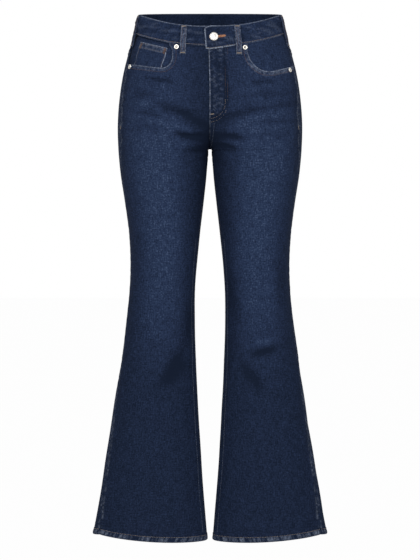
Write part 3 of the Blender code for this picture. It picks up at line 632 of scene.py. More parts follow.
WEAVE_APART = 700.0  # so that the two legs are not cut from the same stretch of cloth


def cloth(name, side, columns, rows, lay, looks):
    """A piece of cloth: a flat grid with a wall, laid on the garment.

    lay(p, q, inner) takes the stations of the points and gives their around value, height, distance
    out, and wear, which below 0 darkens the colour instead: painted shade under overhangs and in
    grooves, and darker tone elsewhere. inner is 0 on the outer face and 1 on the inner one. A second
    look is the reverse.
    """
    mesh = bmesh.new()
    bmesh.ops.create_grid(mesh, x_segments=len(columns) - 1, y_segments=len(rows) - 1, size=0.5)
    extrude(mesh, mesh.faces[:], by=(0, 0, 1))
    flat = np.array([v.co for v in mesh.verts])
    p = np.asarray(columns, float)[np.rint((flat[:, 0] + 0.5) * (len(columns) - 1)).astype(int)]
    q = np.asarray(rows, float)[np.rint((flat[:, 1] + 0.5) * (len(rows) - 1)).astype(int)]
    inner = np.rint(flat[:, 2])
    around, z, out, wear = np.broadcast_arrays(*lay(p, q, inner))
    placed = drape(side, around, z, out)
    run = (around - 1) * width_at(around, z) + side * WEAVE_APART
    x = placed[:, 0] / MM
    pressed = np.where(around < 1, fold_depth(x, z, FRONT_FOLDS), fold_depth(x, z, BACK_FOLDS))
    # The fade takes the wear below 0, which is painted shade, and a fold's depth: dye kept in its crease,
    # and painted shade there too.
    values = {
        "fade": fade_at(around, z, x) - CREASE_DYE_AND_SHADE * pressed + np.minimum(wear, 0),
        "wear": np.clip(wear, 0, 1),
    }
    layers = {key: mesh.verts.layers.float.new(key) for key in values}
    weave = mesh.loops.layers.uv.new("weave")
    for index, vertex in enumerate(mesh.verts):
        vertex.co = placed[index]
        for key, layer in layers.items():
            vertex[layer] = values[key][index]
    mesh.verts.index_update()
    for face in mesh.faces:
        reverse = True
        for loop in face.loops:
            index = loop.vert.index
            loop[weave].uv = (run[index] * MM, z[index] * MM)
            reverse = reverse and inner[index] > 0.5
        face.material_index = int(reverse and len(looks) > 1)
    return finish(name, mesh, looks)


def stamped_out(piece, outline, middle_y, depth):
    """Cuts an outline of (x, z) through the piece along Y, from middle_y - depth to middle_y + depth, in
    metres."""
    mesh = bmesh.new()
    face = mesh.faces.new([mesh.verts.new((x * MM, middle_y - depth, z * MM)) for x, z in outline])
    extrude(mesh, [face], by=(0, 2 * depth, 0))
    face_outwards(mesh)
    cutter = put("cutter", mesh_from(mesh, "cutter"))
    cut = piece.modifiers.new("cut", "BOOLEAN")
    cut.operation, cut.solver, cut.object = "DIFFERENCE", "EXACT", cutter
    bpy.context.view_layer.update()
    graph = bpy.context.evaluated_depsgraph_get()
    shaped = bpy.data.meshes.new_from_object(piece.evaluated_get(graph))
    piece.modifiers.clear()
    piece.data = shaped
    shaped.name = piece.name
    bpy.data.objects.remove(cutter)


def spindle():
    """The mesh of one stitch, 2 long and 2 thick along Z."""
    mesh = bmesh.new()
    bmesh.ops.create_uvsphere(mesh, u_segments=6, v_segments=4, radius=1)
    return mesh_from(mesh, "spindle")


SPINDLE = spindle()
STITCH_PITCH = 3.4  # from one stitch of a row to the next
ROW_START = 0.5  # what is left free at each end of a row
BAR_PITCH, BAR_THREAD = 0.75, 0.75  # the step and thickness of a bartack's stitches


class Stitching:
    """Stitches of one thread, gathered row by row and then made as one piece."""

    def __init__(self, name, look, length=2.7, thick=0.85):
        self.name, self.look = name, look
        self.length, self.thick = length, thick
        self.mesh = bmesh.new()

    def stitch(self, centre, way, outwards, length=None, thick=None):
        """One stitch: a spindle of thread, half sunk in the cloth. Its place is in metres."""
        length, thick = (length or self.length) * MM / 2, (thick or self.thick) * MM / 2
        way = Vector(way).normalized()
        across = Vector(outwards).cross(way).normalized()
        up = way.cross(across)
        turn = Matrix.Identity(4)
        for column, (axis, size) in enumerate(((across, thick), (up, thick * 0.8), (way, length))):
            for row in range(3):
                turn[row][column] = axis[row] * size
            turn[column][3] = centre[column]
        shaped = SPINDLE.copy()
        shaped.transform(turn)
        self.mesh.from_mesh(shaped)
        bpy.data.meshes.remove(shaped)

    def row(self, side, around, z, out):
        """A row of stitches along a line on the cloth, given as points close together."""
        around, z, out = np.broadcast_arrays(*(np.asarray(v, float) for v in (around, z, out)))
        low, high = drape(side, around, z, out), drape(side, around, z, out + 1)
        run = run_along(low) / MM
        stitched = run[-1] - 2 * ROW_START
        count = max(int(stitched // STITCH_PITCH), 1)
        stations = ROW_START + stitched * (np.arange(count) + 0.5) / count
        centres, above = at_stations(low, run, stations), at_stations(high, run, stations)
        half = self.length / 2
        ways = at_stations(low, run, stations + half) - at_stations(low, run, stations - half)
        for centre, way, up in zip(centres, ways, above - centres):
            self.stitch(centre, way, up)

    def bar(self, side, around, z, out, length, height, lean=0.0):
        """A bartack: short stitches packed side by side, length long and height high in all, turned by
        lean degrees."""
        steps = ((0, 0, 0), (0.004, 0, 0), (0, 1, 0), (0, 0, 1))
        low, right, high, above = drape(side, *(np.array([around, z, out]) + np.array(steps)).T)
        across = Vector(right - low).normalized() * side
        up = Vector(high - low).normalized()
        turn = math.radians(lean)
        along = across * math.cos(turn) + up * math.sin(turn)
        tall = up * math.cos(turn) - across * math.sin(turn)
        for step in np.arange(-length / 2, length / 2 + 0.01, BAR_PITCH):
            place = Vector(low) + along * step * MM
            self.stitch(place, tall + along * 0.25, above - low, length=height, thick=BAR_THREAD)

    def made(self):
        """The piece of all the stitches."""
        piece = finish(self.name, self.mesh, [self.look], sharp=80)
        return piece


# --- Finishes ---


def linear(hex_colour):
    """An sRGB hex colour as linear red, green, blue and alpha."""
    values = [int(hex_colour[i : i + 2], 16) / 255 for i in (1, 3, 5)]
    return (*(v / 12.92 if v <= 0.04045 else ((v + 0.055) / 1.055) ** 2.4 for v in values), 1.0)


def add(tree, kind, inputs=None, **settings):
    """Adds a shader node. Settings are its own properties; inputs are values, or outputs to link."""
    made = tree.nodes.new("ShaderNode" + kind)
    for key, value in settings.items():
        setattr(made, key, value)
    for key, value in (inputs or {}).items():
        if isinstance(value, bpy.types.NodeSocket):
            tree.links.new(value, made.inputs[key])
        else:
            made.inputs[key].default_value = value
    return made


def new_look(name, **sockets):
    """(material, its nodes, its shader) with the shader's own sockets set."""
    look = bpy.data.materials.new(name)
    look.use_nodes = True
    shader = look.node_tree.nodes["Principled BSDF"]
    for key, value in sockets.items():
        shader.inputs[key.replace("_", " ")].default_value = value
    return look, look.node_tree, shader


def blend(tree, share, low, high):
    """The colour that mixes low and high, each a colour or an output."""
    return add(tree, "Mix", {0: share, 6: low, 7: high}, data_type="RGBA").outputs[2]


def sum_of(tree, *terms):
    """The sum of outputs and numbers, each a (value, weight) pair."""
    total = 0.0
    for value, weight in terms:
        inputs = {0: value, 1: weight, 2: total}
        total = add(tree, "Math", inputs, operation="MULTIPLY_ADD").outputs[0]
    return total


def threads(tree, uv, across, along, detail=2.0):
    """Noise whose grains are across by along millimetres on the cloth, and average a half."""
    scale = (1 / (across * MM), 1 / (along * MM), 1.0)
    scaled = add(tree, "Mapping", {"Vector": uv, "Scale": scale}).outputs[0]
    inputs = {"Vector": scaled, "Scale": 1.0, "Detail": detail, "Roughness": 0.55}
    return add(tree, "TexNoise", inputs).outputs["Fac"]


def grains(tree, place, scale, detail=2.0):
    """Noise in the object's own space, with about scale grains to the metre."""
    return add(tree, "TexNoise", {"Vector": place, "Scale": scale, "Detail": detail}).outputs["Fac"]


def emboss(tree, shader, height, strength, depth):
    """Lets a height, from 0 to 1 over depth millimetres, bend the light on the surface."""
    bump = add(tree, "Bump", {"Strength": strength, "Distance": depth * MM, "Height": height})
    tree.links.new(bump.outputs[0], shader.inputs["Normal"])


def denim_face():
    """Ring-spun indigo warp over a pale weft in a 3/1 twill, rinsed and hand-rubbed: a dark, dry face
    whose slubs show as short upright and level streaks, paler where it is rubbed and where edges are
    worn."""
    look, tree, shader = new_look(
        "rinsed_indigo_twill",
        Roughness=0.88,
        Specular_IOR_Level=0.06,
        Sheen_Weight=0.02,
        Sheen_Roughness=0.5,
        Sheen_Tint=linear("#8095c8"),
    )
    uv = add(tree, "UVMap", uv_map="weave").outputs[0]
    # The fade attribute holds the wash, and painted shade in creases, grooves and under overhangs.
    fade = add(tree, "Attribute", attribute_name="fade").outputs["Fac"]
    wear = add(tree, "Attribute", attribute_name="wear").outputs["Fac"]
    # Real warp slubs are about 0.5 mm wide; they are drawn 2 mm wide, so that they show at arm's length.
    warp = threads(tree, uv, 2.2, 13.0, detail=1.0)
    weft = threads(tree, uv, 11.0, 2.3, detail=1.0)
    grain = threads(tree, uv, 3.0, 3.0, detail=1.0)
    patch = threads(tree, uv, 14.0, 26.0)
    mottle = sum_of(tree, (warp, 0.9), (weft, 0.7), (grain, 1.4), (patch, 0.45), (1.0, -1.725))
    strength = sum_of(tree, (fade, 0.55), (1.0, 0.66))
    tone = sum_of(tree, (mottle, strength), (fade, 1.0))
    ramp = add(tree, "ValToRGB", {"Fac": tone})
    # From dye that has kept, and painted shade, to dye that is washed out.
    places = (0.0, 0.28, 0.55, 0.85, 1.0)
    colours = ("#121b2c", "#1c263b", "#232f48", "#2d3b55", "#3f4c66")
    for index, (place, colour) in enumerate(zip(places, colours)):
        if index < 2:
            stop = ramp.color_ramp.elements[index]
            stop.position = place
        else:
            stop = ramp.color_ramp.elements.new(place)
        stop.color = linear(colour)
    rubbed = sum_of(tree, (grain, 1.6), (warp, 0.6), (1.0, -0.62))
    share = add(tree, "Math", {0: wear, 1: rubbed}, operation="MULTIPLY", use_clamp=True).outputs[0]
    colour = blend(tree, share, ramp.outputs[0], linear("#a4afc2"))
    # The twill's diagonal is 0.8 mm from line to line; it is drawn at twice that.
    diagonal = {"Vector": uv, "Rotation": (0, 0, math.radians(-32)), "Scale": (196.0, 196.0, 1.0)}
    slanted = add(tree, "Mapping", diagonal).outputs[0]
    twill = add(tree, "TexWave", {"Vector": slanted, "Scale": 1.0, "Distortion": 0.6}).outputs["Fac"]
    height = sum_of(tree, (twill, 0.5), (warp, 0.6), (grain, 0.6), (weft, 0.3))
    tree.links.new(colour, shader.inputs["Base Color"])
    emboss(tree, shader, height, strength=0.5, depth=0.35)
    return look


def denim_reverse():
    """The back of the same twill, its undyed weft on top: a paler, greyer blue, finely flecked."""
    look, tree, shader = new_look("indigo_twill_reverse", Roughness=0.9, Specular_IOR_Level=0.2)
    uv = add(tree, "UVMap", uv_map="weave").outputs[0]
    weft = threads(tree, uv, 9.0, 1.8)
    grain = threads(tree, uv, 2.0, 2.0, detail=3.0)
    share = sum_of(tree, (weft, 0.9), (grain, 1.1), (1.0, -0.5))
    tree.links.new(blend(tree, share, linear("#2a3246"), linear("#667085")), shader.inputs["Base Color"])
    emboss(tree, shader, share, strength=0.4, depth=0.3)
    return look


def thread(name, dark, pale):
    """Core-spun polyester sewing thread: a soft gloss, a little uneven in colour along the seam."""
    look, tree, shader = new_look(name, Roughness=0.55, Specular_IOR_Level=0.35, Sheen_Weight=0.1)
    place = add(tree, "TexCoord").outputs["Object"]
    share = sum_of(tree, (grains(tree, place, 160.0), 2.4), (1.0, -0.7))
    tree.links.new(blend(tree, share, linear(dark), linear(pale)), shader.inputs["Base Color"])
    return look


def satin_nickel(name, low, high):
    """Cast zinc, tumbled and nickel plated: a slightly warm satin with fine pits and no sharp glints."""
    look, tree, shader = new_look(name, Metallic=1.0)
    place = add(tree, "TexCoord").outputs["Object"]
    # Tumbling marks are under 0.2 mm; they are drawn at 0.8 mm.
    pits, clouds = grains(tree, place, 1250.0, detail=3.0), grains(tree, place, 260.0)
    tree.links.new(blend(tree, clouds, linear(low), linear(high)), shader.inputs["Base Color"])
    tree.links.new(sum_of(tree, (pits, 0.2), (1.0, 0.28)), shader.inputs["Roughness"])
    emboss(tree, shader, pits, strength=0.2, depth=0.1)
    return look


DENIM = denim_face()
REVERSE = denim_reverse()
TAN_THREAD = thread("tan_polyester_thread", "#6a605a", "#9c8e7e")
COPPER_THREAD = thread("copper_polyester_thread", "#382b2b", "#684c42")
BROWN_THREAD = thread("brown_polyester_thread", "#221b1c", "#4c3733")
RUST_THREAD = thread("rust_polyester_thread", "#744730", "#bd8863")
SLATE_THREAD = thread("slate_polyester_thread", "#3a4254", "#6a7386")
NICKEL = satin_nickel("satin_nickel_plate", "#9e9b96", "#c2bfbb")
BRIGHT_NICKEL = satin_nickel("bright_nickel_plate", "#c8c4bb", "#ece8df")
DULL_NICKEL = satin_nickel("dulled_nickel_plate", "#1d1b19", "#4a4641")
FACE = [DENIM]
FACE_AND_REVERSE = [DENIM, REVERSE]


# --- Panels ---

TOP_LEVEL = -24.0  # a front's first level, which follows its top edge
LAST_LEVEL = HEM_SIDE_Z + 2.0  # a panel's last one, behind the turned-up hem
STRETCHED_AT = -900.0  # below it the levels lean to meet the hem


def panel_levels(top, bottom):
    """Levels of a panel's rows: fine down the hips, closer still at the crotch, coarser down the legs."""
    gaps = np.array([0.4, 1.0, 1.8, 2.8, 4.0, 5.5, 7.5, 10.0])
    even = np.concatenate([np.arange(top, -290.0, -2.4), np.arange(-290.0, bottom, -4.2)])
    even = even[np.abs(even - CROTCH_Z) > 12]
    return np.sort(np.concatenate([even, CROTCH_Z - gaps, [CROTCH_Z], CROTCH_Z + gaps, [bottom]]))[::-1]


def level_height(level, around, top, first, level_at):
    """Height of a panel's points: the first level follows the top edge, the last the hem."""
    fade = np.clip((level - level_at) / (first - level_at), 0, 1)
    leaning = np.clip((STRETCHED_AT - level) / (STRETCHED_AT - HEM_SIDE_Z), 0, 1.02)
    return level + fade * (top - first) + leaning * (hem_line(around) - HEM_SIDE_Z)


def front_panel(side):
    """One front, with the worn edge of the fly on the wearer's left one and the pocket mouth cut out."""
    levels = panel_levels(TOP_LEVEL, LAST_LEVEL)

    def lay(p, level, inner):
        z = level_height(level, p, cloth_top(p, side), TOP_LEVEL, LEVEL_AT)
        lean = FLY_TOP_X * np.clip((z - FLY_STRAIGHT_Z) / (BAND_TOP_FRONT - FLY_STRAIGHT_Z), 0, 1)
        lap = CENTRE_LAP * soft((z - CROTCH_Z - 1) / 5) * (1 - p) ** 20 * (side == LEFT)
        around = spread(p, z) + (side * lean * (1 - p) - lap) / front_width(z)
        from_edge = p * front_width(z)
        to_side = (1 - p) * front_width(z)
        wear = seam_wear(to_side, z, seed=101)
        wear = wear + 0.3 * seam_wear(from_edge, z, seed=102) * (z < CROTCH_Z)
        # Painted shadow under the waistband.
        wear = wear + painted_shadow_below_band(p, side, z)
        if side == LEFT:
            fly_edge = near(from_edge, 0.95) * np.where(z > CROTCH_Z, 1.0, 0.0)
            fly_edge = fly_edge * (1 - 0.5 * soft((FLY_END_Z[0] - z) / 20))
            wear = np.maximum(wear, fly_edge * (0.85 + 0.25 * uneven(from_edge, z, 30, 12, seed=35)))
            on_fly = fly_share(from_edge, z) * soft(from_edge / 3)
            rubbed = np.clip(0.1 + 0.6 * uneven(from_edge, z, 15, 9, seed=37), -0.4, 1.2)
            wear = wear + 0.17 * on_fly * rubbed
            wear = wear - on_fly * (0.04 + 0.03 * soft((-100 - z) / 40))
            # Painted shade in the grooves along the J's rows, deepest at the puckers.
            puckers = 0.75 + 0.6 * dents(-z, seed=61, pitch=9.0, width=2.4)
            for row, kept, width in ((0, 0.40, 1.8), (1, 0.28, 1.3)):
                beside = np.abs(fly_reach(from_edge, z, row) - 1) * FLY_STITCH_X[row]
                wear = wear - kept * puckers * near(beside, width) * (z > FLY_END_Z[1] - 6)
        else:
            wear = wear - 0.06 * near(from_edge, 32) * soft((z - CROTCH_Z) / 60)
        return around, z, -CLOTH * inner, wear * (1 - inner)

    piece = cloth(sided("cloth_front", side), side, graded(58), levels, lay, FACE_AND_REVERSE)
    mouth = [(side * x, z) for x, z in mouth_outline(side, grow=2.0)]
    stamped_out(piece, mouth, middle_y=-0.31, depth=0.3)
    return stands_for(piece, sided("front", side))


def back_panel(side):
    """One back, from the yoke seam to the hem."""
    levels = panel_levels(YOKE_SIDE_Z, LAST_LEVEL)

    def lay(p, level, inner):
        z = level_height(level, 1 + p, yoke_seam(1 + p), YOKE_SIDE_Z, BACK_LEVEL_AT)
        around = spread(1 - p, z, back=True)
        wear = seam_wear((around - 1) * back_width(z), z, seed=103)
        if side == LEFT:
            wear = wear + seam_wear((2 - around) * back_width(z), z, seed=104) * (z > CROTCH_Z)
        return around, z, -CLOTH * inner, wear * (1 - inner)

    piece = cloth(sided("cloth_back", side), side, graded(58), levels, lay, FACE_AND_REVERSE)
    return stands_for(piece, sided("back", side))


def yoke(side):
    """The back yoke. Its lower edge laps over the back panel and is stitched down."""

    def lay(p, q, inner):
        around = 1 + p
        top, bottom = cloth_top(around, RIGHT), yoke_edge(around)
        z = bottom + (top - bottom) * q
        lap = 0.75 * soft((11 - (z - bottom)) / 2.5)
        edge = near(z - bottom, 1.4)
        return around, z, lap * (1 - inner) - CLOTH * inner, 0.4 * edge * (1 - inner)

    rows = np.concatenate([[0, 0.012, 0.03, 0.06, 0.1, 0.14, 0.18, 0.22], np.linspace(0.27, 1, 14)])
    piece = cloth(sided("cloth_yoke", side), side, graded(46), rows, lay, FACE_AND_REVERSE)
    return stands_for(piece, sided("yoke", side))


# How far out a hem's face lies, by the height above its edge.
HEM_PROFILE = (
    (0.0, -1.0), (0.5, -0.1), (1.2, 0.45), (2.2, 0.75), (4.0, 0.85), (8.0, 0.75), (10.2, 0.7), (11.2, 0.45),
    (12.2, 0.7), (13.0, 0.6), (13.5, 0.2), (13.9, -0.5),
)
HEM_DROP = 0.8  # how far the turned edge lies below the panel
HEM_ROW = 10.6  # its row of stitches, above the panel's edge


def hem(side, back):
    """The turned-up hem of one panel. Its edge ropes: slanting ripples, rubbed pale on their tops."""
    first = 1.0 if back else 0.0
    heights = np.array([
        0, 0.3, 0.7, 1.2, 2.0, 3.0, 4.2, 5.5, 6.8, 8.0, 9.2, 10.2, 10.8, 11.2, 11.7, 12.2, 13, 13.5, 13.9,
    ])

    def lay(p, d, inner):
        around = first + p
        width = back_width(HEM_SIDE_Z) if back else front_width(HEM_SIDE_Z)
        run = p * width
        notch = dents(run + 0.35 * d, seed=41 + side + 4 * int(back), pitch=11.0, width=1.3)
        rope = 0.6 * uneven(run + 0.5 * d, d, 16, 60, seed=45 + side + 4 * int(back)) - 1.6 * notch
        swelling = np.sin(math.pi * np.clip(d / 12.4, 0, 1))
        profile = np.interp(d, *zip(*HEM_PROFILE))
        out = np.where(inner > 0.5, -HEM_WALL + 0.8 * near(d, 0.8), profile + 0.35 * rope * swelling)
        seam = near(np.minimum(run, width - run), 1.2)
        out = out - 0.5 * seam * (1 - inner)
        wear = (0.21 + 0.25 * np.clip(rope, -1.0, 1.0)) * swelling * (1 - inner) + 0.25 * near(d, 1.2)
        return around, hem_line(around) - HEM_DROP + d, out, wear

    name = sided("hem_back" if back else "hem_front", side)
    piece = cloth(name, side, np.linspace(0, 1, 220), heights, lay, FACE)
    return piece


# --- Front pockets ---

# The corner (x, z) where a mouth's inner and lower edges would meet, the slope of the lower one, and the
# radius that rounds the corner.
MOUTHS = {LEFT: (73.8, -111.4, 0.26, 42.0), RIGHT: (74.0, -95.6, 0.14, 21.0)}
MOUTH_FLARE = {LEFT: 0.0, RIGHT: 6.0}  # the inner edge turns outwards by this,
MOUTH_FLARE_Z = (-62.0, -48.0)  # between these heights
MOUTH_ROWS = (2.2, 7.9)  # the two rows of stitches, from the edge
OUTSIDE_X = 230.0  # beyond the hip


def arc(centre, radius, start, end, steps):
    """Points of an arc, in degrees anticlockwise from +x."""
    angles = np.radians(np.linspace(start, end, steps + 1))
    return [(centre[0] + radius * math.cos(a), centre[1] + radius * math.sin(a)) for a in angles]


def mouth_shape(side):
    """(lean of the lower edge, radius of the round corner, its centre), x measured towards the side."""
    x, z, slope, radius = MOUTHS[side]
    lean = math.atan(slope)
    return lean, radius, (x + radius, z + slope * radius + radius / math.cos(lean))


def inner_edge(side, z):
    """The x of a mouth's inner edge at a height, which turns outwards as it nears the waistband."""
    low, high = MOUTH_FLARE_Z
    return MOUTHS[side][0] + MOUTH_FLARE[side] * np.clip((z - low) / (high - low), 0, 1) ** 2


def mouth_outline(side, grow):
    """The mouth widened by grow, as (x, z) points, closed above the waist seam and outside the hip."""
    lean, radius, centre = mouth_shape(side)
    inner = [(inner_edge(side, h) - grow, h) for h in (0.0, *np.linspace(*MOUTH_FLARE_Z[::-1], 8))]
    lower = arc(centre, radius + grow, 180, 270 + math.degrees(lean), 16)
    end_x, end_z = lower[-1]
    outer = (OUTSIDE_X, end_z + math.tan(lean) * (OUTSIDE_X - end_x))
    return [*inner, *lower, outer, (OUTSIDE_X, 0.0)]


def mouth_path(side, step=1.5):
    """Points (x, z) along the mouth's edge from the waist seam to the side seam, their directions away
    from the opening, and how far along they lie."""
    lean, radius, centre = mouth_shape(side)
    top_x = MOUTHS[side][0] + MOUTH_FLARE[side]
    top = float(waist_seam(around_of(top_x, -55.0), side)) - 0.5
    down = [(inner_edge(side, h), h) for h in np.linspace(top, centre[1], 30)]
    round_corner = arc(centre, radius, 180, 270 + math.degrees(lean), 24)
    end_x, end_z = round_corner[-1]
    side_x = float(base_point(1.0, -90.0)[0])
    for _ in range(3):
        side_x = float(base_point(1.0, end_z + math.tan(lean) * (side_x - end_x))[0])
    out = [(h, end_z + math.tan(lean) * (h - end_x)) for h in np.linspace(end_x, side_x, 40)]
    corners = np.array(down + round_corner[1:] + out[1:])
    run = run_along(corners)
    stations = np.linspace(0, run[-1], int(run[-1] / step) + 1)
    points = at_stations(corners, run, stations)
    return points, square_to(np.gradient(points, axis=0)), stations


# The share of its length from which a rim is rubbed all over, and how much.
RIM_RUBBED = {LEFT: (0.05, 0.11), RIGHT: (0.30, 0.06)}
# How far out a rim's face lies, by the distance from its edge.
RIM_PROFILE = (
    (0.0, -0.6), (0.12, 0.1), (0.4, 0.55), (0.9, 0.8), (1.6, 0.62), (2.2, 0.45), (2.9, 0.75), (5.0, 0.85),
    (6.8, 0.7), (7.9, 0.38), (8.8, 0.5), (9.8, 0.25), (10.5, -0.15), (11.0, -0.5),
)


def mouth_rim(side):
    """The turned, topstitched edge of a pocket mouth: a raised band that puckers between its rows."""
    points, away, run = mouth_path(side)
    offsets = np.array([
        0, 0.12, 0.4, 0.9, 1.4, 1.8, 2.2, 2.6, 3.2, 4.2, 5.2, 6.2, 7.0, 7.5, 7.9, 8.4, 9, 9.8, 10.5, 11,
    ])
    length = run[-1]

    def lay(index, s, inner):
        index = index.astype(int)
        place = points[index] + away[index] * s[:, None]
        around = around_of(place[:, 0], place[:, 1])
        station = run[index]
        rope = uneven(station + 0.5 * s, s, 11, 18, seed=51 + side)
        out = np.interp(s, *zip(*RIM_PROFILE)) + 0.16 * rope * np.sin(math.pi * np.clip(s / 9, 0, 1))
        rubbed_from, rubbed = RIM_RUBBED[side]
        body = 0.04 + rubbed * soft((station / length - rubbed_from) / 0.25)
        crisp = 0.35 + 0.65 * soft((station - 14) / 16)
        crisp = crisp * (1 - 0.4 * soft((station / length - 0.6) / 0.25) * (side == RIGHT))
        wear = crisp * near(s, 1.1) + body * (1 + 0.8 * rope) * soft((10.8 - s) / 3)
        # Painted shade in the grooves along the two rows.
        wear = wear - 0.14 * near(s - MOUTH_ROWS[1], 1.1) - 0.10 * near(s - 2.8, 0.8)
        return around, place[:, 1], np.where(inner > 0.5, -1.38, out), wear

    piece = cloth(sided("rim", side), side, np.arange(len(points)), offsets, lay, FACE)
    return piece


def mouth_stitches(side):
    """The two rows round a mouth: a tonal one by the edge, and a copper one that holds the rim down."""
    made = []
    points, away, _ = mouth_path(side, 1.0)
    for part, look, offset, out in (
        ("inner", SLATE_THREAD, MOUTH_ROWS[0], 0.5),
        ("outer", COPPER_THREAD, MOUTH_ROWS[1], 0.42),
    ):
        rows = Stitching(sided(f"stitches_mouth_{part}", side), look)
        place = points + away * offset
        rows.row(side, around_of(place[:, 0], place[:, 1]), place[:, 1], out)
        made.append(rows.made())
    return made


FACING_OUT = {LEFT: -1.5, RIGHT: -3.0}
FACING_TUCK = 7.0  # how far it runs up behind the waistband
FACING_FROM, FACING_BOTTOM = 0.26, -128.0  # its inner and lower edges


def facing(side):
    """The denim that shows in a pocket mouth, behind the front."""

    def lay(p, q, inner):
        around = FACING_FROM + (1 - FACING_FROM) * p
        top = waist_seam(around, side) + FACING_TUCK
        z = FACING_BOTTOM + (top - FACING_BOTTOM) * q
        x = base_point(around, z)[..., 0]
        corner_x, corner_z, slope, _ = MOUTHS[side]
        # Painted shade: darker close to the mouth's edge, where the front overhangs the facing, and painted
        # shadow under the waistband.
        inside = np.minimum(x - inner_edge(side, z), z - corner_z - slope * (x - corner_x))
        kept = -0.18 * np.exp(-np.clip(inside, 0, None) / 6) + painted_shadow_below_band(around, side, z, 4.5)
        return around, z, FACING_OUT[side] - CLOTH * inner, kept

    columns, rows = graded(40, 0.3), graded(26, 0.3)
    piece = cloth(sided("cloth_facing", side), side, columns, rows, lay, FACE_AND_REVERSE)
    return stands_for(piece, sided("pocket_facing", side))


COIN_CORNER = (-138.3, -39.5)  # its upper outer corner
COIN_WIDTH, COIN_DEPTH = 56.4, 62.0
COIN_TILT, COIN_LEAN = math.radians(-14.0), math.radians(-16.8)  # of its top edge, and of its sides
COIN_OUT = -1.5
COIN_BAND = 12.5  # depth of its stitched top edge
COIN_BAND_ROWS = (2.0, 10.6)  # stitches along it, from the edge


def on_coin(across, down):
    """(around, z) of a place on the coin pocket, from its upper outer corner."""
    x = COIN_CORNER[0] + math.cos(COIN_TILT) * across + math.sin(COIN_LEAN) * down
    z = COIN_CORNER[1] + math.sin(COIN_TILT) * across - math.cos(COIN_LEAN) * down
    return around_of(-x, z), z


def coin_pocket():
    """The small pocket inside the wearer's right one, with a doubled band along its top."""
    band_downs = [0, 0.2, 0.6, 1.2, 2, 3, 5, 7, 9, 10.5, 11.5, 12.2, 12.8, 13.4]
    downs = np.array([*band_downs, 15, 18, 22, 27, 32, 38, 45, 53, COIN_DEPTH])

    def lay(p, down, inner):
        across = p * COIN_WIDTH
        around, z = on_coin(across, down)
        edge = np.minimum(np.minimum(across, COIN_WIDTH - across), down)
        band = soft((COIN_BAND - down) / 0.7)
        rope = uneven(across, down, 9, 20, seed=61)
        round_off = 0.5 * near(edge, 0.5)
        out = COIN_OUT + 0.12 + 0.3 * band + 0.10 * rope * band - round_off
        middle = near(down - 6.6, 2.2) * soft((0.5 - np.abs(p - 0.5)) / 0.25)
        wear = 0.55 * near(edge, 1.1) + (0.26 + 0.12 * rope - 0.34 * middle) * band
        wear = wear + 0.35 * near(COIN_WIDTH - across, 1.3)
        return around, z, np.where(inner > 0.5, COIN_OUT - CLOTH, out), wear

    piece = cloth("cloth_coin_pocket", RIGHT, graded(40, 0.75), downs, lay, FACE)
    return stands_for(piece, "coin_pocket")


# --- Back pockets ---

BACK_POCKET = {
    "inner_x": 30.0,
    "outer_x": 146.0,
    "top_z": -118.0,
    "depth": 128.0,
    "point": 16.0,  # how much deeper its middle is
    "taper": 9.0,  # how much each side comes in towards the bottom
    "lean": 7.0,  # how much lower its inner side is
}


POCKET_BAND = 14.5  # depth of the stitched band along a back pocket's top
POCKET_OUT = 1.35  # how far out its face lies
POCKET_ROWS, POCKET_BAND_ROWS = (2.0, 7.6), (2.0, 12.6)  # rows round it and along the band, from its edge
POCKET_THREAD_OUT = 1.75


def on_back_pocket(across, down):
    """(around, z) of a place on a back pocket, at shares of its way across and down."""
    b = BACK_POCKET
    across, down = np.broadcast_arrays(np.asarray(across, float), np.asarray(down, float))
    left = b["inner_x"] + b["taper"] * down
    right = b["outer_x"] - b["taper"] * down
    top = b["top_z"] - b["lean"] * (1 - across)
    point = b["point"] * (1 - np.abs(2 * across - 1))
    bottom = b["top_z"] - b["depth"] - point + b["lean"] * np.where(across > 0.5, 2 * across - 1, 0)
    x, z = left + (right - left) * across, top + (bottom - top) * down
    return around_of(x, z, back=True), z


def back_pocket(side):
    """A patch pocket: turned edges all round and a stitched band along its top."""
    b = BACK_POCKET
    width, depth = b["outer_x"] - b["inner_x"], b["depth"]

    def lay(p, q, inner):
        around, z = on_back_pocket(p, q)
        edge = np.minimum(np.minimum(p, 1 - p) * width, np.minimum(q, 1 - q) * depth)
        band = soft((POCKET_BAND - q * depth) / 1.0)
        rope = uneven(p * width, q * depth, 10, 30, seed=71)
        border = soft((9 - edge) / 2.5)
        out = POCKET_OUT + 0.35 * np.maximum(band, border) + 0.10 * rope * border
        out = out - 0.7 * near(edge, 0.5)
        wear = 0.6 * near(edge, 1.2) + (0.22 + 0.12 * rope) * np.maximum(band, 0.5 * border)
        return around, z, np.where(inner > 0.5, 0.12, out), wear * (1 - inner)

    name = sided("cloth_back_pocket", side)
    columns = np.unique(np.round(np.concatenate([graded(50, 0.8), [0.5]]), 6))
    piece = cloth(name, side, columns, graded(56, 0.8), lay, FACE)
    return stands_for(piece, sided("back_pocket", side))


# --- Waistband and belt loops ---


def band_end(q, side):
    """Where the band ends beyond the middle, as a distance along it. q runs up it from 0 to 1."""
    if side == LEFT:
        return TONGUE_X[1] + (TONGUE_X[0] - TONGUE_X[1]) * q
    return -UNDERLAP_X + 0 * q


def band_reach(p, q, side):
    """The around value of the band's columns. Below 0, p runs from its end at the fly to the middle."""
    return np.where(p < 0, -p * band_end(q, side) / front_width(0.0), p)


def band_height(around, q, side):
    """Height of a place on the band."""
    top = band_top(np.abs(around))
    return top - (BAND_HEIGHT + tongue_drop(around, side)) * (1 - q)


def band_face(around, z, side):
    """Distance out of the band's middle layer."""
    x = side * base_point(around, z)[..., 0]
    return np.where(np.abs(around) < 1, overlap(x, side), 0)


BUTTON = (7.6, -32.4)
BAND_ROW = 2.3  # the band's lower row of stitches, from its edge
TONGUE_NOSE, NOSE_REACH = 6.0, 13.0  # drop of the left end's rounded upper corner, and its length


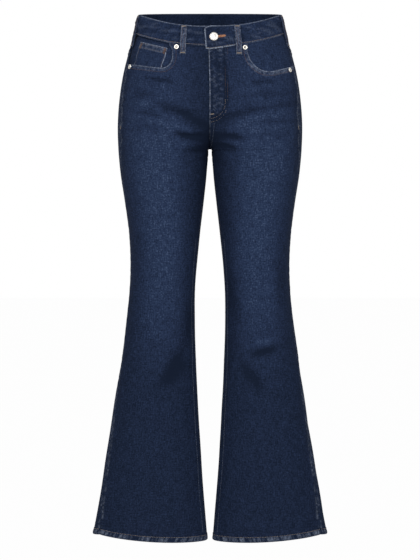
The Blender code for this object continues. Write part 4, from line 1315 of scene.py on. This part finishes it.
def waistband(side):
    """Half the waistband. The wearer's left end is worn along its edge and has the buttonhole."""
    past = np.linspace(-1, -0.02 if side == LEFT else -0.05, 16)
    columns = np.concatenate([past, np.linspace(0, 2, 260)])

    def lay(p, q, inner):
        around = band_reach(p, q, side)
        z = band_height(around, q, side)
        high = BAND_HEIGHT + tongue_drop(around, side)
        run = around * front_width(0.0)
        to_end = run - band_end(q, side)
        edge = np.minimum(np.minimum(q, 1 - q) * high, np.maximum(to_end, 0))
        round_off = 0.85 * (1 - np.sqrt(1 - (1 - np.clip(edge / 1.4, 0, 1)) ** 2))
        z = z - TONGUE_NOSE * np.clip(1 - to_end / NOSE_REACH, 0, 1) ** 2 * q * (side == LEFT)
        from_button = ((run - BUTTON[0] - 8) / 20) ** 2 + ((z - BUTTON[1]) / 9) ** 2
        by_button = np.exp(-from_button) * (side == LEFT)
        ripple = 0.85 * uneven(run, z, 55, 12, seed=81 + side)
        ripple = ripple * np.sin(math.pi * q) * soft(q / 0.2) * (1 - by_button)
        rows = near(edge - BAND_ROW, 0.9)
        out = BAND_OUT + ripple - round_off - 0.22 * rows
        out = np.where(inner > 0.5, BAND_OUT - BAND_WALL + round_off, out) + band_face(around, z, side)
        wear = 0.40 * near(edge, 1.3) * (0.75 + 0.35 * uneven(run, z, 24, 30, seed=83))
        wear = wear + 0.20 * near((1 - q) * high, 1.8)
        # Ripple tops are rubbed paler, with painted light on them and painted shade in the troughs.
        wear = wear + 0.10 * np.clip(ripple * 1.6 - 0.2, -1.2, 1.0) - 0.01
        # Painted shadow along both sides of the front loop.
        _, top, bottom, *_ = LOOPS[sided("front", side)]
        loop_middle = np.interp(z, (bottom[1], top[1]), (bottom[0], top[0]))
        beside_loop = np.abs(np.abs(run - loop_middle) - LOOP_WIDTH / 2)
        wear = wear - 0.20 * near(beside_loop, 2.2) * (q < 0.95)
        if side == LEFT:
            near_end = soft((np.where(q > 0.5, 30, 66) - to_end) / 22)
            wear = wear + 0.9 * near_end * near(edge, 1.8)
        # The inner face keeps less of the rubbed paleness and is darkened further as painted shade inside
        # the waist.
        return around, z, out, wear * (1 - 0.6 * inner) - 0.12 * inner

    piece = cloth(sided("cloth_waistband", side), side, columns, graded(26, 0.8), lay, FACE)
    return stands_for(piece, sided("waistband", side))


LOOP_WIDTH, LOOP_WALL, LOOP_LENGTH = 11.4, 1.9, 55.0
LOOP_SLACK = 1.3  # how far a loop bows out from the band
# Down a loop, how it stands: 1 is bowed out, 0 lies on the band's face, and -1 on the cloth below.
LOOP_PATH = ((0.0, 0.0), (0.16, 0.0), (0.36, 1.0), (0.56, 1.0), (0.74, 0.25), (0.88, -1.0), (1.0, -1.0))
LOOPS = {  # side, place of the top and bottom end, how far it runs below the band, how much it is rubbed
    "front_left": (LEFT, (52.4, -7.6), (56.8, -63.0), 19.0, 0.8),
    "front_right": (RIGHT, (50.0, -8.6), (52.8, -63.0), 19.0, 0.8),
    "side_left": (LEFT, 0.955, 0.955, 25.0, 0.2),
    "side_right": (RIGHT, 0.955, 0.955, 25.0, 0.2),
    "back_centre": (LEFT, 2.0, 2.0, 19.0, 0.6),
}


def on_loop(name, p, q):
    """(side, around, z, out) of a place on a loop's underside. p runs across it and q down it."""
    side, *ends, below, _ = LOOPS[name]
    top, bottom = (float(around_of(*end)) if isinstance(end, tuple) else end for end in ends)
    middle = top + (bottom - top) * q
    seam_side = RIGHT if middle.max() > 1 else side
    high, seam = band_top(middle), waist_seam(middle, seam_side)
    z = high - 0.5 + (seam - below - high + 0.5) * q
    width = width_at(middle, z)
    bow = np.interp(q, *zip(*LOOP_PATH))
    stand = BAND_OUT + SEAM + np.where(bow > 0, LOOP_SLACK * bow, BAND_OUT * bow)
    around = middle + (p - 0.5) * LOOP_WIDTH / width
    if middle.max() < 1:
        stand = stand + band_face(around, z, side) * np.clip(1 + bow, 0, 1)
    return side, around, z, stand


def belt_loop(name):
    """A belt loop: a folded strip with ridged edges, rubbed greyer than the cloth round it."""
    side, *_, rubbed = LOOPS[name]

    def lay(p, q, inner):
        _, around, z, stand = on_loop(name, p, q)
        edge = np.minimum(p, 1 - p) * LOOP_WIDTH
        ridge = 0.25 * near(edge - 1.6, 1.2) - 0.6 * near(edge, 0.45)
        rope = uneven(p * LOOP_WIDTH, z, 9, 12, seed=91 + len(name))
        ends = 0.5 * near(np.minimum(q, 1 - q) * LOOP_LENGTH, 0.6)
        out = stand + np.where(inner > 0.5, 0, LOOP_WALL + ridge + 0.10 * rope - ends)
        wear = rubbed * (0.24 + 0.12 * rope + 0.42 * near(edge, 1.0)) * (1 - inner)
        return around, z, out, wear

    piece = cloth(f"cloth_loop_{name}", side, graded(17, 0.75), graded(56, 0.5), lay, FACE)
    return stands_for(piece, f"belt_loop_{name}")


def fly_shield():
    """The shield behind the closed fly."""
    top = BAND_TOP_FRONT - BAND_HEIGHT - BAND_TONGUE - 1.0
    out = -2 * (CLOTH + SEAM) - 1.6

    def lay(p, q, inner):
        z = FLY_SHIELD_Z + (top - FLY_SHIELD_Z) * q
        x = FLY_SHIELD_X[0] + (FLY_SHIELD_X[1] - FLY_SHIELD_X[0]) * p
        return x / front_width(z), z, out - CLOTH * inner, 0 * p

    piece = cloth("cloth_fly_shield", LEFT, graded(18, 0.3), graded(40, 0.3), lay, FACE)
    return stands_for(piece, "fly_shield")


# --- Button, rivets and zip ---

# Round metal parts, as (radius, height) above the place they stand on.
BUTTON_PROFILE = (
    (0.0, -2.5), (2.45, -2.5), (2.6, -2.3), (2.6, 0.45), (2.9, 0.6), (7.5, 0.6), (8.2, 0.8), (8.6, 1.3),
    (8.72, 1.8), (8.6, 2.3), (8.2, 2.75), (7.7, 3.0), (7.2, 3.02), (6.9, 2.85), (6.7, 2.55), (6.4, 2.45),
    (5.5, 2.55), (3.5, 2.8), (1.5, 2.95), (0.0, 3.0),
)
RIVET_PROFILE = (
    (0.0, 0.0), (4.7, 0.0), (4.8, 0.15), (4.8, 0.5), (4.55, 0.95), (4.0, 1.25), (3.3, 1.35), (2.7, 1.2),
    (2.2, 0.75), (1.7, 0.5), (1.2, 0.55), (1.05, 1.0), (0.8, 1.4), (0.4, 1.6), (0.0, 1.62),
)
RIVET_DARK = 2.3  # radius of the recess, where the plating has dulled
RIVETS = {
    "inner_left": (68.5, -52.5),
    "outer_left": (158.0, -95.2),
    "inner_right": (-65.2, -51.5),
    "outer_right": (-158.2, -88.9),
}


def stand_on(x, z, out):
    """(place, outward direction) on the front at (x, z), that far off the skin."""
    side = LEFT if x > 0 else RIGHT
    around = around_of(np.array([abs(x)]), np.array([float(z)]))
    low, high = (Vector(drape(side, around, z, out + lift)[0]) for lift in (0, 10))
    return low, (high - low).normalized()


def turned(name, profile, place, outwards, steps, dark=0.0):
    """A round metal piece turned from (radius, height) points, standing on place and facing outwards."""
    mesh = bmesh.new()
    points = [mesh.verts.new((r * MM, 0, h * MM)) for r, h in profile]
    edges = [mesh.edges.new(pair) for pair in zip(points, points[1:])]
    around_z = {"cent": (0, 0, 0), "axis": (0, 0, 1), "angle": 2 * math.pi}
    bmesh.ops.spin(mesh, geom=points + edges, steps=steps, use_merge=True, **around_z)
    bmesh.ops.remove_doubles(mesh, verts=mesh.verts[:], dist=1e-6)
    for face in mesh.faces:
        centre = face.calc_center_median()
        face.material_index = int(math.hypot(centre.x, centre.y) < dark * MM and centre.z < 1.1 * MM)
    turn = Matrix.Translation(place) @ outwards.to_track_quat("Z", "Y").to_matrix().to_4x4()
    bmesh.ops.transform(mesh, matrix=turn, verts=mesh.verts[:])
    piece = finish(name, mesh, [BRIGHT_NICKEL, DULL_NICKEL] if dark else [NICKEL], sharp=55)
    return piece


RIVET_OUT = 0.75  # how far off the skin a rivet stands


def hardware():
    """The button on the band's overlap and the rivets at the pocket mouths."""
    out = BAND_OUT + float(overlap(np.array(BUTTON[0]), LEFT))
    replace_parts(turned("shank_button", BUTTON_PROFILE, *stand_on(*BUTTON, out), steps=48), "button")
    for name, (x, z) in RIVETS.items():
        place = stand_on(x, z, RIVET_OUT)
        rivet = turned(f"capped_rivet_{name}", RIVET_PROFILE, *place, steps=32, dark=RIVET_DARK)
        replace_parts(rivet, f"rivet_{name}")


# --- Stitching ---

BUTTONHOLE_END_X, BUTTONHOLE_TILT = 29.0, math.radians(5)
EYE_RADIUS, EYE_STRETCH = 3.6, 1.9  # the round eye, and how much longer it is towards the slot
SLOT_HALF = 0.35  # half the slot's width


def buttonhole_outline(grow=0.0):
    """A keyhole as (x, z): a round eye about the button's shank with a slot towards the side."""
    eye_radius, slot_half = EYE_RADIUS + grow, SLOT_HALF + grow
    meet = math.degrees(math.asin(slot_half / eye_radius))
    eye = arc((0, 0), eye_radius, meet, 360 - meet, steps=20)
    reach = BUTTONHOLE_END_X - BUTTON[0] + grow
    eye = [(min(x, x * EYE_STRETCH), z) for x, z in eye]
    cosine, sine = math.cos(BUTTONHOLE_TILT), math.sin(BUTTONHOLE_TILT)
    turn = np.array([[cosine, -sine], [sine, cosine]])
    return np.array(eye + [(reach, -slot_half), (reach, slot_half)]) @ turn.T + np.array(BUTTON)


def along_outline(corners, step):
    """Points at even steps round a closed outline, and their directions out of it."""
    closed = np.concatenate([corners, corners[:1]])
    run = run_along(closed)
    points = at_stations(closed, run, np.arange(0, run[-1], step))
    return points, square_to(np.roll(points, -1, axis=0) - np.roll(points, 1, axis=0))


def buttonhole_stitches():
    """Close buttonhole stitches that cross the keyhole's edge."""
    rows = Stitching("stitches_buttonhole", RUST_THREAD, length=2.9, thick=1.2)
    points, away = along_outline(buttonhole_outline(0.7), 0.85)
    for (x, z), way in zip(points, away):
        ends = []
        for reach in (-1.0, 1.0):
            place = np.array([x, z]) + way * reach
            around = around_of(place[0], place[1])
            out = BAND_OUT + band_face(around, place[1], LEFT) + 0.25
            ends.append(drape(LEFT, around, place[1], out))
            above = drape(LEFT, around, place[1], out + 1)
        rows.stitch((ends[0] + ends[1]) / 2, ends[1] - ends[0], above - ends[1])
    return rows.made()


def band_stitches(side):
    """The row along the band's lower edge, and the tonal one along its top."""
    made = []
    first = (TONGUE_X[0] + 3.5 if side == LEFT else 3.0) / front_width(0.0)
    around = np.linspace(first, 1.999, 420)
    top_around = np.linspace((4.0 if side == LEFT else 3.0) / front_width(0.0), 1.999, 420)
    for part, look, places, z in (
        ("lower", TAN_THREAD, around, band_height(around, 0.0, side) + BAND_ROW),
        ("top", SLATE_THREAD, top_around, band_height(top_around, 1.0, side) - 1.6),
    ):
        rows = Stitching(sided(f"stitches_waistband_{part}", side), look)
        rows.row(side, places, z, BAND_OUT - 0.1 + band_face(places, z, side))
        made.append(rows.made())
    return made


def fly_row(x, end_z):
    """(x, z) of one row of the J: straight down, then round to the middle."""
    top = float(waist_seam(around_of(x, -50.0), LEFT)) - 1.0
    straight = np.linspace(top, FLY_TURN_Z, 60)
    turn = np.linspace(0, math.pi / 2 - 0.03, 40)
    return (
        np.concatenate([x + 0 * straight, x * np.cos(turn)[1:]]),
        np.concatenate([straight, FLY_TURN_Z + (end_z - FLY_TURN_Z) * np.sin(turn)[1:]]),
    )


def fly_stitches():
    """The J, darker down its straight part, and the bartack at its foot. The darker part is painted shade:
    the tan thread of its curve, drawn dark brown.
    """
    # Painted shade: the straight part's thread is drawn dark brown.
    straight = Stitching("stitches_fly_straight", BROWN_THREAD)
    turn = Stitching("stitches_fly_turn", TAN_THREAD, thick=0.7)
    bar = Stitching("stitches_fly_bar", TAN_THREAD)
    bar_x, bar_z = 4.9, -181.5
    for x, end_z in zip(FLY_STITCH_X, FLY_END_Z):
        across, z = fly_row(x, end_z)
        upper = z > FLY_TURN_Z + 8
        for rows, part in ((straight, upper), (turn, ~upper)):
            rows.row(LEFT, around_of(across[part], z[part]), z[part], 0.1)
    bar.bar(LEFT, float(around_of(bar_x, bar_z)), bar_z, 0.35, length=6.5, height=2.6)
    return [straight.made(), turn.made(), bar.made()]


YOKE_ROWS = (1.6, 7.6)  # rows along the yoke, from its lower edge
FELLED_ROWS = (2.6, 8.4)  # rows beside a felled seam, from the seam


def hem_row(rows, side, first):
    """The row round the hem of the panel whose around values start at first."""
    around = np.linspace(first + 0.004, first + 0.996, 220)
    rows.row(side, around, hem_line(around) + HEM_ROW, 0.55)


def felled_rows(rows, side, z, out):
    """The two rows beside the centre back seam."""
    for gap in FELLED_ROWS:
        rows.row(side, 2 - gap / back_width(z), z, out)


SIDE_BAR_Z = -208.5  # where a bartack ends the topstitching of the side seam


def front_stitches(side):
    """The hem of one front, and the bartack at its side."""
    rows = Stitching(sided("stitches_front", side), TAN_THREAD)
    around = float(1 - 4.4 / front_width(SIDE_BAR_Z))
    rows.bar(side, around, SIDE_BAR_Z, 0.3, length=7.0, height=2.4, lean=90)
    hem_row(rows, side, 0)
    return rows.made()


def tonal_stitches(side):
    """The tonal rows that a front shows beside its inseam, side seam and centre seam."""
    rows = Stitching(sided("stitches_tonal", side), SLATE_THREAD)
    z = np.arange(-430.0, -1029.0, -2.0)
    inset = np.interp(z, (-1030, -700, -520, -430), (6.5, 6.5, 4.5, 5.0))
    rows.row(side, around_of(base_point(0 * z, z)[..., 0] + inset, z), z, -0.05)
    z = np.arange(mouth_path(side)[0][-1][1] - RIM_WIDTH - 1.5, -206.0, -1.5)
    rows.row(side, 1 - 3.0 / front_width(z), z, 0.12)
    if side == LEFT:
        z = np.arange(FLY_END_Z[1] - 1.0, -249.0, -1.5)
        rows.row(side, FELLED_ROWS[1] / front_width(z), z, -0.1)
    return rows.made()


def back_stitches(side):
    """The hem of one back, and the felled rise on the wearer's left one."""
    rows = Stitching(sided("stitches_back", side), TAN_THREAD)
    hem_row(rows, side, 1)
    if side == LEFT:
        felled_rows(rows, side, np.arange(YOKE_CENTRE_Z - 2.0, -250.0, -1.5), 0.12)
    return rows.made()


def yoke_stitches(side):
    """The two rows along the yoke's lower edge, and the felled rise on the wearer's left one."""
    rows = Stitching(sided("stitches_yoke", side), TAN_THREAD)
    around = np.linspace(1.01, 1.998, 220)
    for gap in YOKE_ROWS:
        rows.row(side, around, yoke_edge(around) + gap, 0.8)
    if side == LEFT:
        top = float(waist_seam(np.array(2.0), RIGHT)) - 2.0
        felled_rows(rows, side, np.arange(top, YOKE_CENTRE_Z, -1.5), 0.15)
    return rows.made()


def back_pocket_stitches(side):
    """Two rows round a back pocket, two along its band, and a bartack at each upper corner."""
    rows = Stitching(sided("stitches_back_pocket", side), TAN_THREAD)
    b = BACK_POCKET
    width, depth = b["outer_x"] - b["inner_x"], b["depth"]
    for gap in POCKET_ROWS:
        a, d = gap / width, 1 - gap / depth
        across = np.concatenate([np.full(80, a), np.linspace(a, 1 - a, 120), np.full(80, 1 - a)])
        down = np.concatenate([np.linspace(0.015, d, 80), np.full(120, d), np.linspace(d, 0.015, 80)])
        rows.row(side, *on_back_pocket(across, down), POCKET_THREAD_OUT)
    for gap in POCKET_BAND_ROWS:
        across = np.linspace(0.015, 0.985, 160)
        rows.row(side, *on_back_pocket(across, np.full(160, gap / depth)), POCKET_THREAD_OUT)
    for across in (0.035, 0.965):
        around, z = on_back_pocket(across, 0.055)
        rows.bar(side, float(around), float(z), 1.95, length=9.0, height=3.4, lean=90)
    return rows.made()


def coin_stitches():
    """The coin pocket's rows along its band and down its sides, and the bartacks that close its top."""
    rows = Stitching("stitches_coin_pocket", BROWN_THREAD)
    for down in COIN_BAND_ROWS:
        across = np.linspace(1.5, COIN_WIDTH - 1.5, 70)
        rows.row(RIGHT, *on_coin(across, np.full(70, down)), COIN_OUT + 0.45)
    for across in (2.2, COIN_WIDTH - 2.2):
        down = np.linspace(12.0, 52.0, 60)
        rows.row(RIGHT, *on_coin(np.full(60, across), down), COIN_OUT + 0.1)
    bars = Stitching("bartacks_coin_pocket", COPPER_THREAD)
    for across in (3.6, COIN_WIDTH - 3.6):
        around, z = on_coin(across, 6.8)
        bars.bar(RIGHT, float(around), float(z), COIN_OUT + 0.6, length=11.0, height=6.2, lean=77)
    return [rows.made(), bars.made()]


def loop_stitches(name):
    """Two copper rows down a loop, and the bartacks that hold its ends."""
    side = LOOPS[name][0]
    rows = Stitching(f"stitches_loop_{name}", COPPER_THREAD)
    q = np.linspace(0.03, 0.97, 120)
    for p in (3.0 / LOOP_WIDTH, 1 - 3.0 / LOOP_WIDTH):
        _, around, z, stand = on_loop(name, np.full(120, p), q)
        rows.row(side, around, z, stand + LOOP_WALL + 0.12)
    bars = Stitching(f"bartacks_loop_{name}", TAN_THREAD)
    for q_end in (0.05, 0.95):
        _, around, z, stand = on_loop(name, np.array([0.5]), np.array([q_end]))
        out = float(stand[0]) + LOOP_WALL + 0.3
        bars.bar(side, float(around[0]), float(z[0]), out, length=9.6, height=2.4)
    return [rows.made(), bars.made()]


# --- The jeans ---


def jeans():
    """Every piece of the jeans. Each sheet is made together with the pieces that ride on it."""
    for side in (LEFT, RIGHT):
        front, back = front_panel(side), back_panel(side)
        on_front = [hem(side, back=False), mouth_rim(side), *mouth_stitches(side)]
        on_front += [front_stitches(side), tonal_stitches(side)]
        if side == LEFT:
            on_front += fly_stitches()
        on_back = [hem(side, back=True), back_stitches(side)]
        over_seat, on_yoke = yoke(side), [yoke_stitches(side)]
        band = waistband(side)
        on_band = band_stitches(side)
        if side == LEFT:
            stamped_out(band, buttonhole_outline(), middle_y=-0.09, depth=0.06)
            on_band.append(buttonhole_stitches())
        facing(side)
        pocket, on_pocket = back_pocket(side), [back_pocket_stitches(side)]
    pocket, on_pocket = coin_pocket(), coin_stitches()
    for name in LOOPS:
        loop, on_loop_face = belt_loop(name), loop_stitches(name)
    fly_shield()
    hardware()
    zip_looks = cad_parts["zip"].data.materials  # the zip is shown as it is, in plated metal
    zip_looks.clear()
    zip_looks.append(NICKEL)


# --- Studio ---


FLOOR_Z, FLOOR_REACH = -1.34, 9.0  # metres; it lies well below the hems
GLOW = 0.98  # how much of the floor is seen as plain white
WHITE = (1.0, 1.0, 1.0, 1.0)
LAMPS = (  # name, place and width in metres, power in watts
    ("key", (-0.9, -3.3, 1.5), 1.6, 74.0),
    ("fill", (1.7, -3.3, 0.3), 1.8, 34.0),
)
LAMP_AIM = (0.0, 0.0, -0.5)
CAMERA_PLACE, CAMERA_AIM, CAMERA_LENS = (0.0, -4.0, -0.20), (0.0, 0.0, -0.515), 128.0


def room():
    """An even white room: softly bluish light on the jeans, plain white to the eye."""
    world = bpy.data.worlds.new("studio")
    bpy.context.scene.world = world
    world.use_nodes = True
    tree = world.node_tree
    tree.nodes.clear()
    path = add(tree, "LightPath").outputs
    seen = path["Is Camera Ray"]
    for ray in ("Is Glossy Ray", "Is Transmission Ray"):
        seen = add(tree, "Math", {0: seen, 1: path[ray]}, operation="MAXIMUM").outputs[0]
    ambient = add(tree, "Background", {"Color": linear("#f4f7ff"), "Strength": 0.36}).outputs[0]
    white = add(tree, "Background", {"Color": WHITE, "Strength": 1.0}).outputs[0]
    mixed = add(tree, "MixShader", {0: seen, 1: ambient, 2: white}).outputs[0]
    add(tree, "OutputWorld", {"Surface": mixed})


def white_paint():
    """Matt white paint that also glows to the eye, so that the floor runs into the white of the room."""
    look = bpy.data.materials.new("white_painted_floor")
    look.use_nodes = True
    tree = look.node_tree
    tree.nodes.clear()
    path = add(tree, "LightPath").outputs
    paint = add(tree, "BsdfDiffuse", {"Color": linear("#f2f2f2")}).outputs[0]
    glow = add(tree, "Emission", {"Color": WHITE, "Strength": 1.0}).outputs[0]
    share = sum_of(tree, (path["Is Camera Ray"], GLOW))
    mixed = add(tree, "MixShader", {0: share, 1: paint, 2: glow}).outputs[0]
    add(tree, "OutputMaterial", {"Surface": mixed})
    return look


def aimed(name, data, place, target):
    """A lamp or camera at a place, turned to look at the target."""
    made = put(name, data)
    made.location = place
    made.rotation_mode = "QUATERNION"
    made.rotation_quaternion = (Vector(target) - Vector(place)).to_track_quat("-Z", "Y")
    return made


def studio():
    """The room, a pale floor below the hems, a broad soft lamp high in front on the wearer's right and a
    weaker one across from it."""
    room()
    mesh = bmesh.new()
    bmesh.ops.create_grid(mesh, x_segments=1, y_segments=1, size=FLOOR_REACH)
    bmesh.ops.translate(mesh, vec=(0, 0, FLOOR_Z), verts=mesh.verts[:])
    floor = put("floor", mesh_from(mesh, "floor"))
    floor.data.materials.append(white_paint())
    for name, place, width, power in LAMPS:
        lamp = bpy.data.lights.new(name, "AREA")
        lamp.shape, lamp.size, lamp.energy = "DISK", width, power
        aimed(name, lamp, place, LAMP_AIM)


def camera():
    """A long lens before the jeans, a little above their middle."""
    data = bpy.data.cameras.new("camera")
    data.lens, data.sensor_width = CAMERA_LENS, 36.0
    bpy.context.scene.camera = aimed("camera", data, CAMERA_PLACE, CAMERA_AIM)
    bpy.context.scene.view_settings.view_transform = "Standard"


camera()
jeans()
studio()
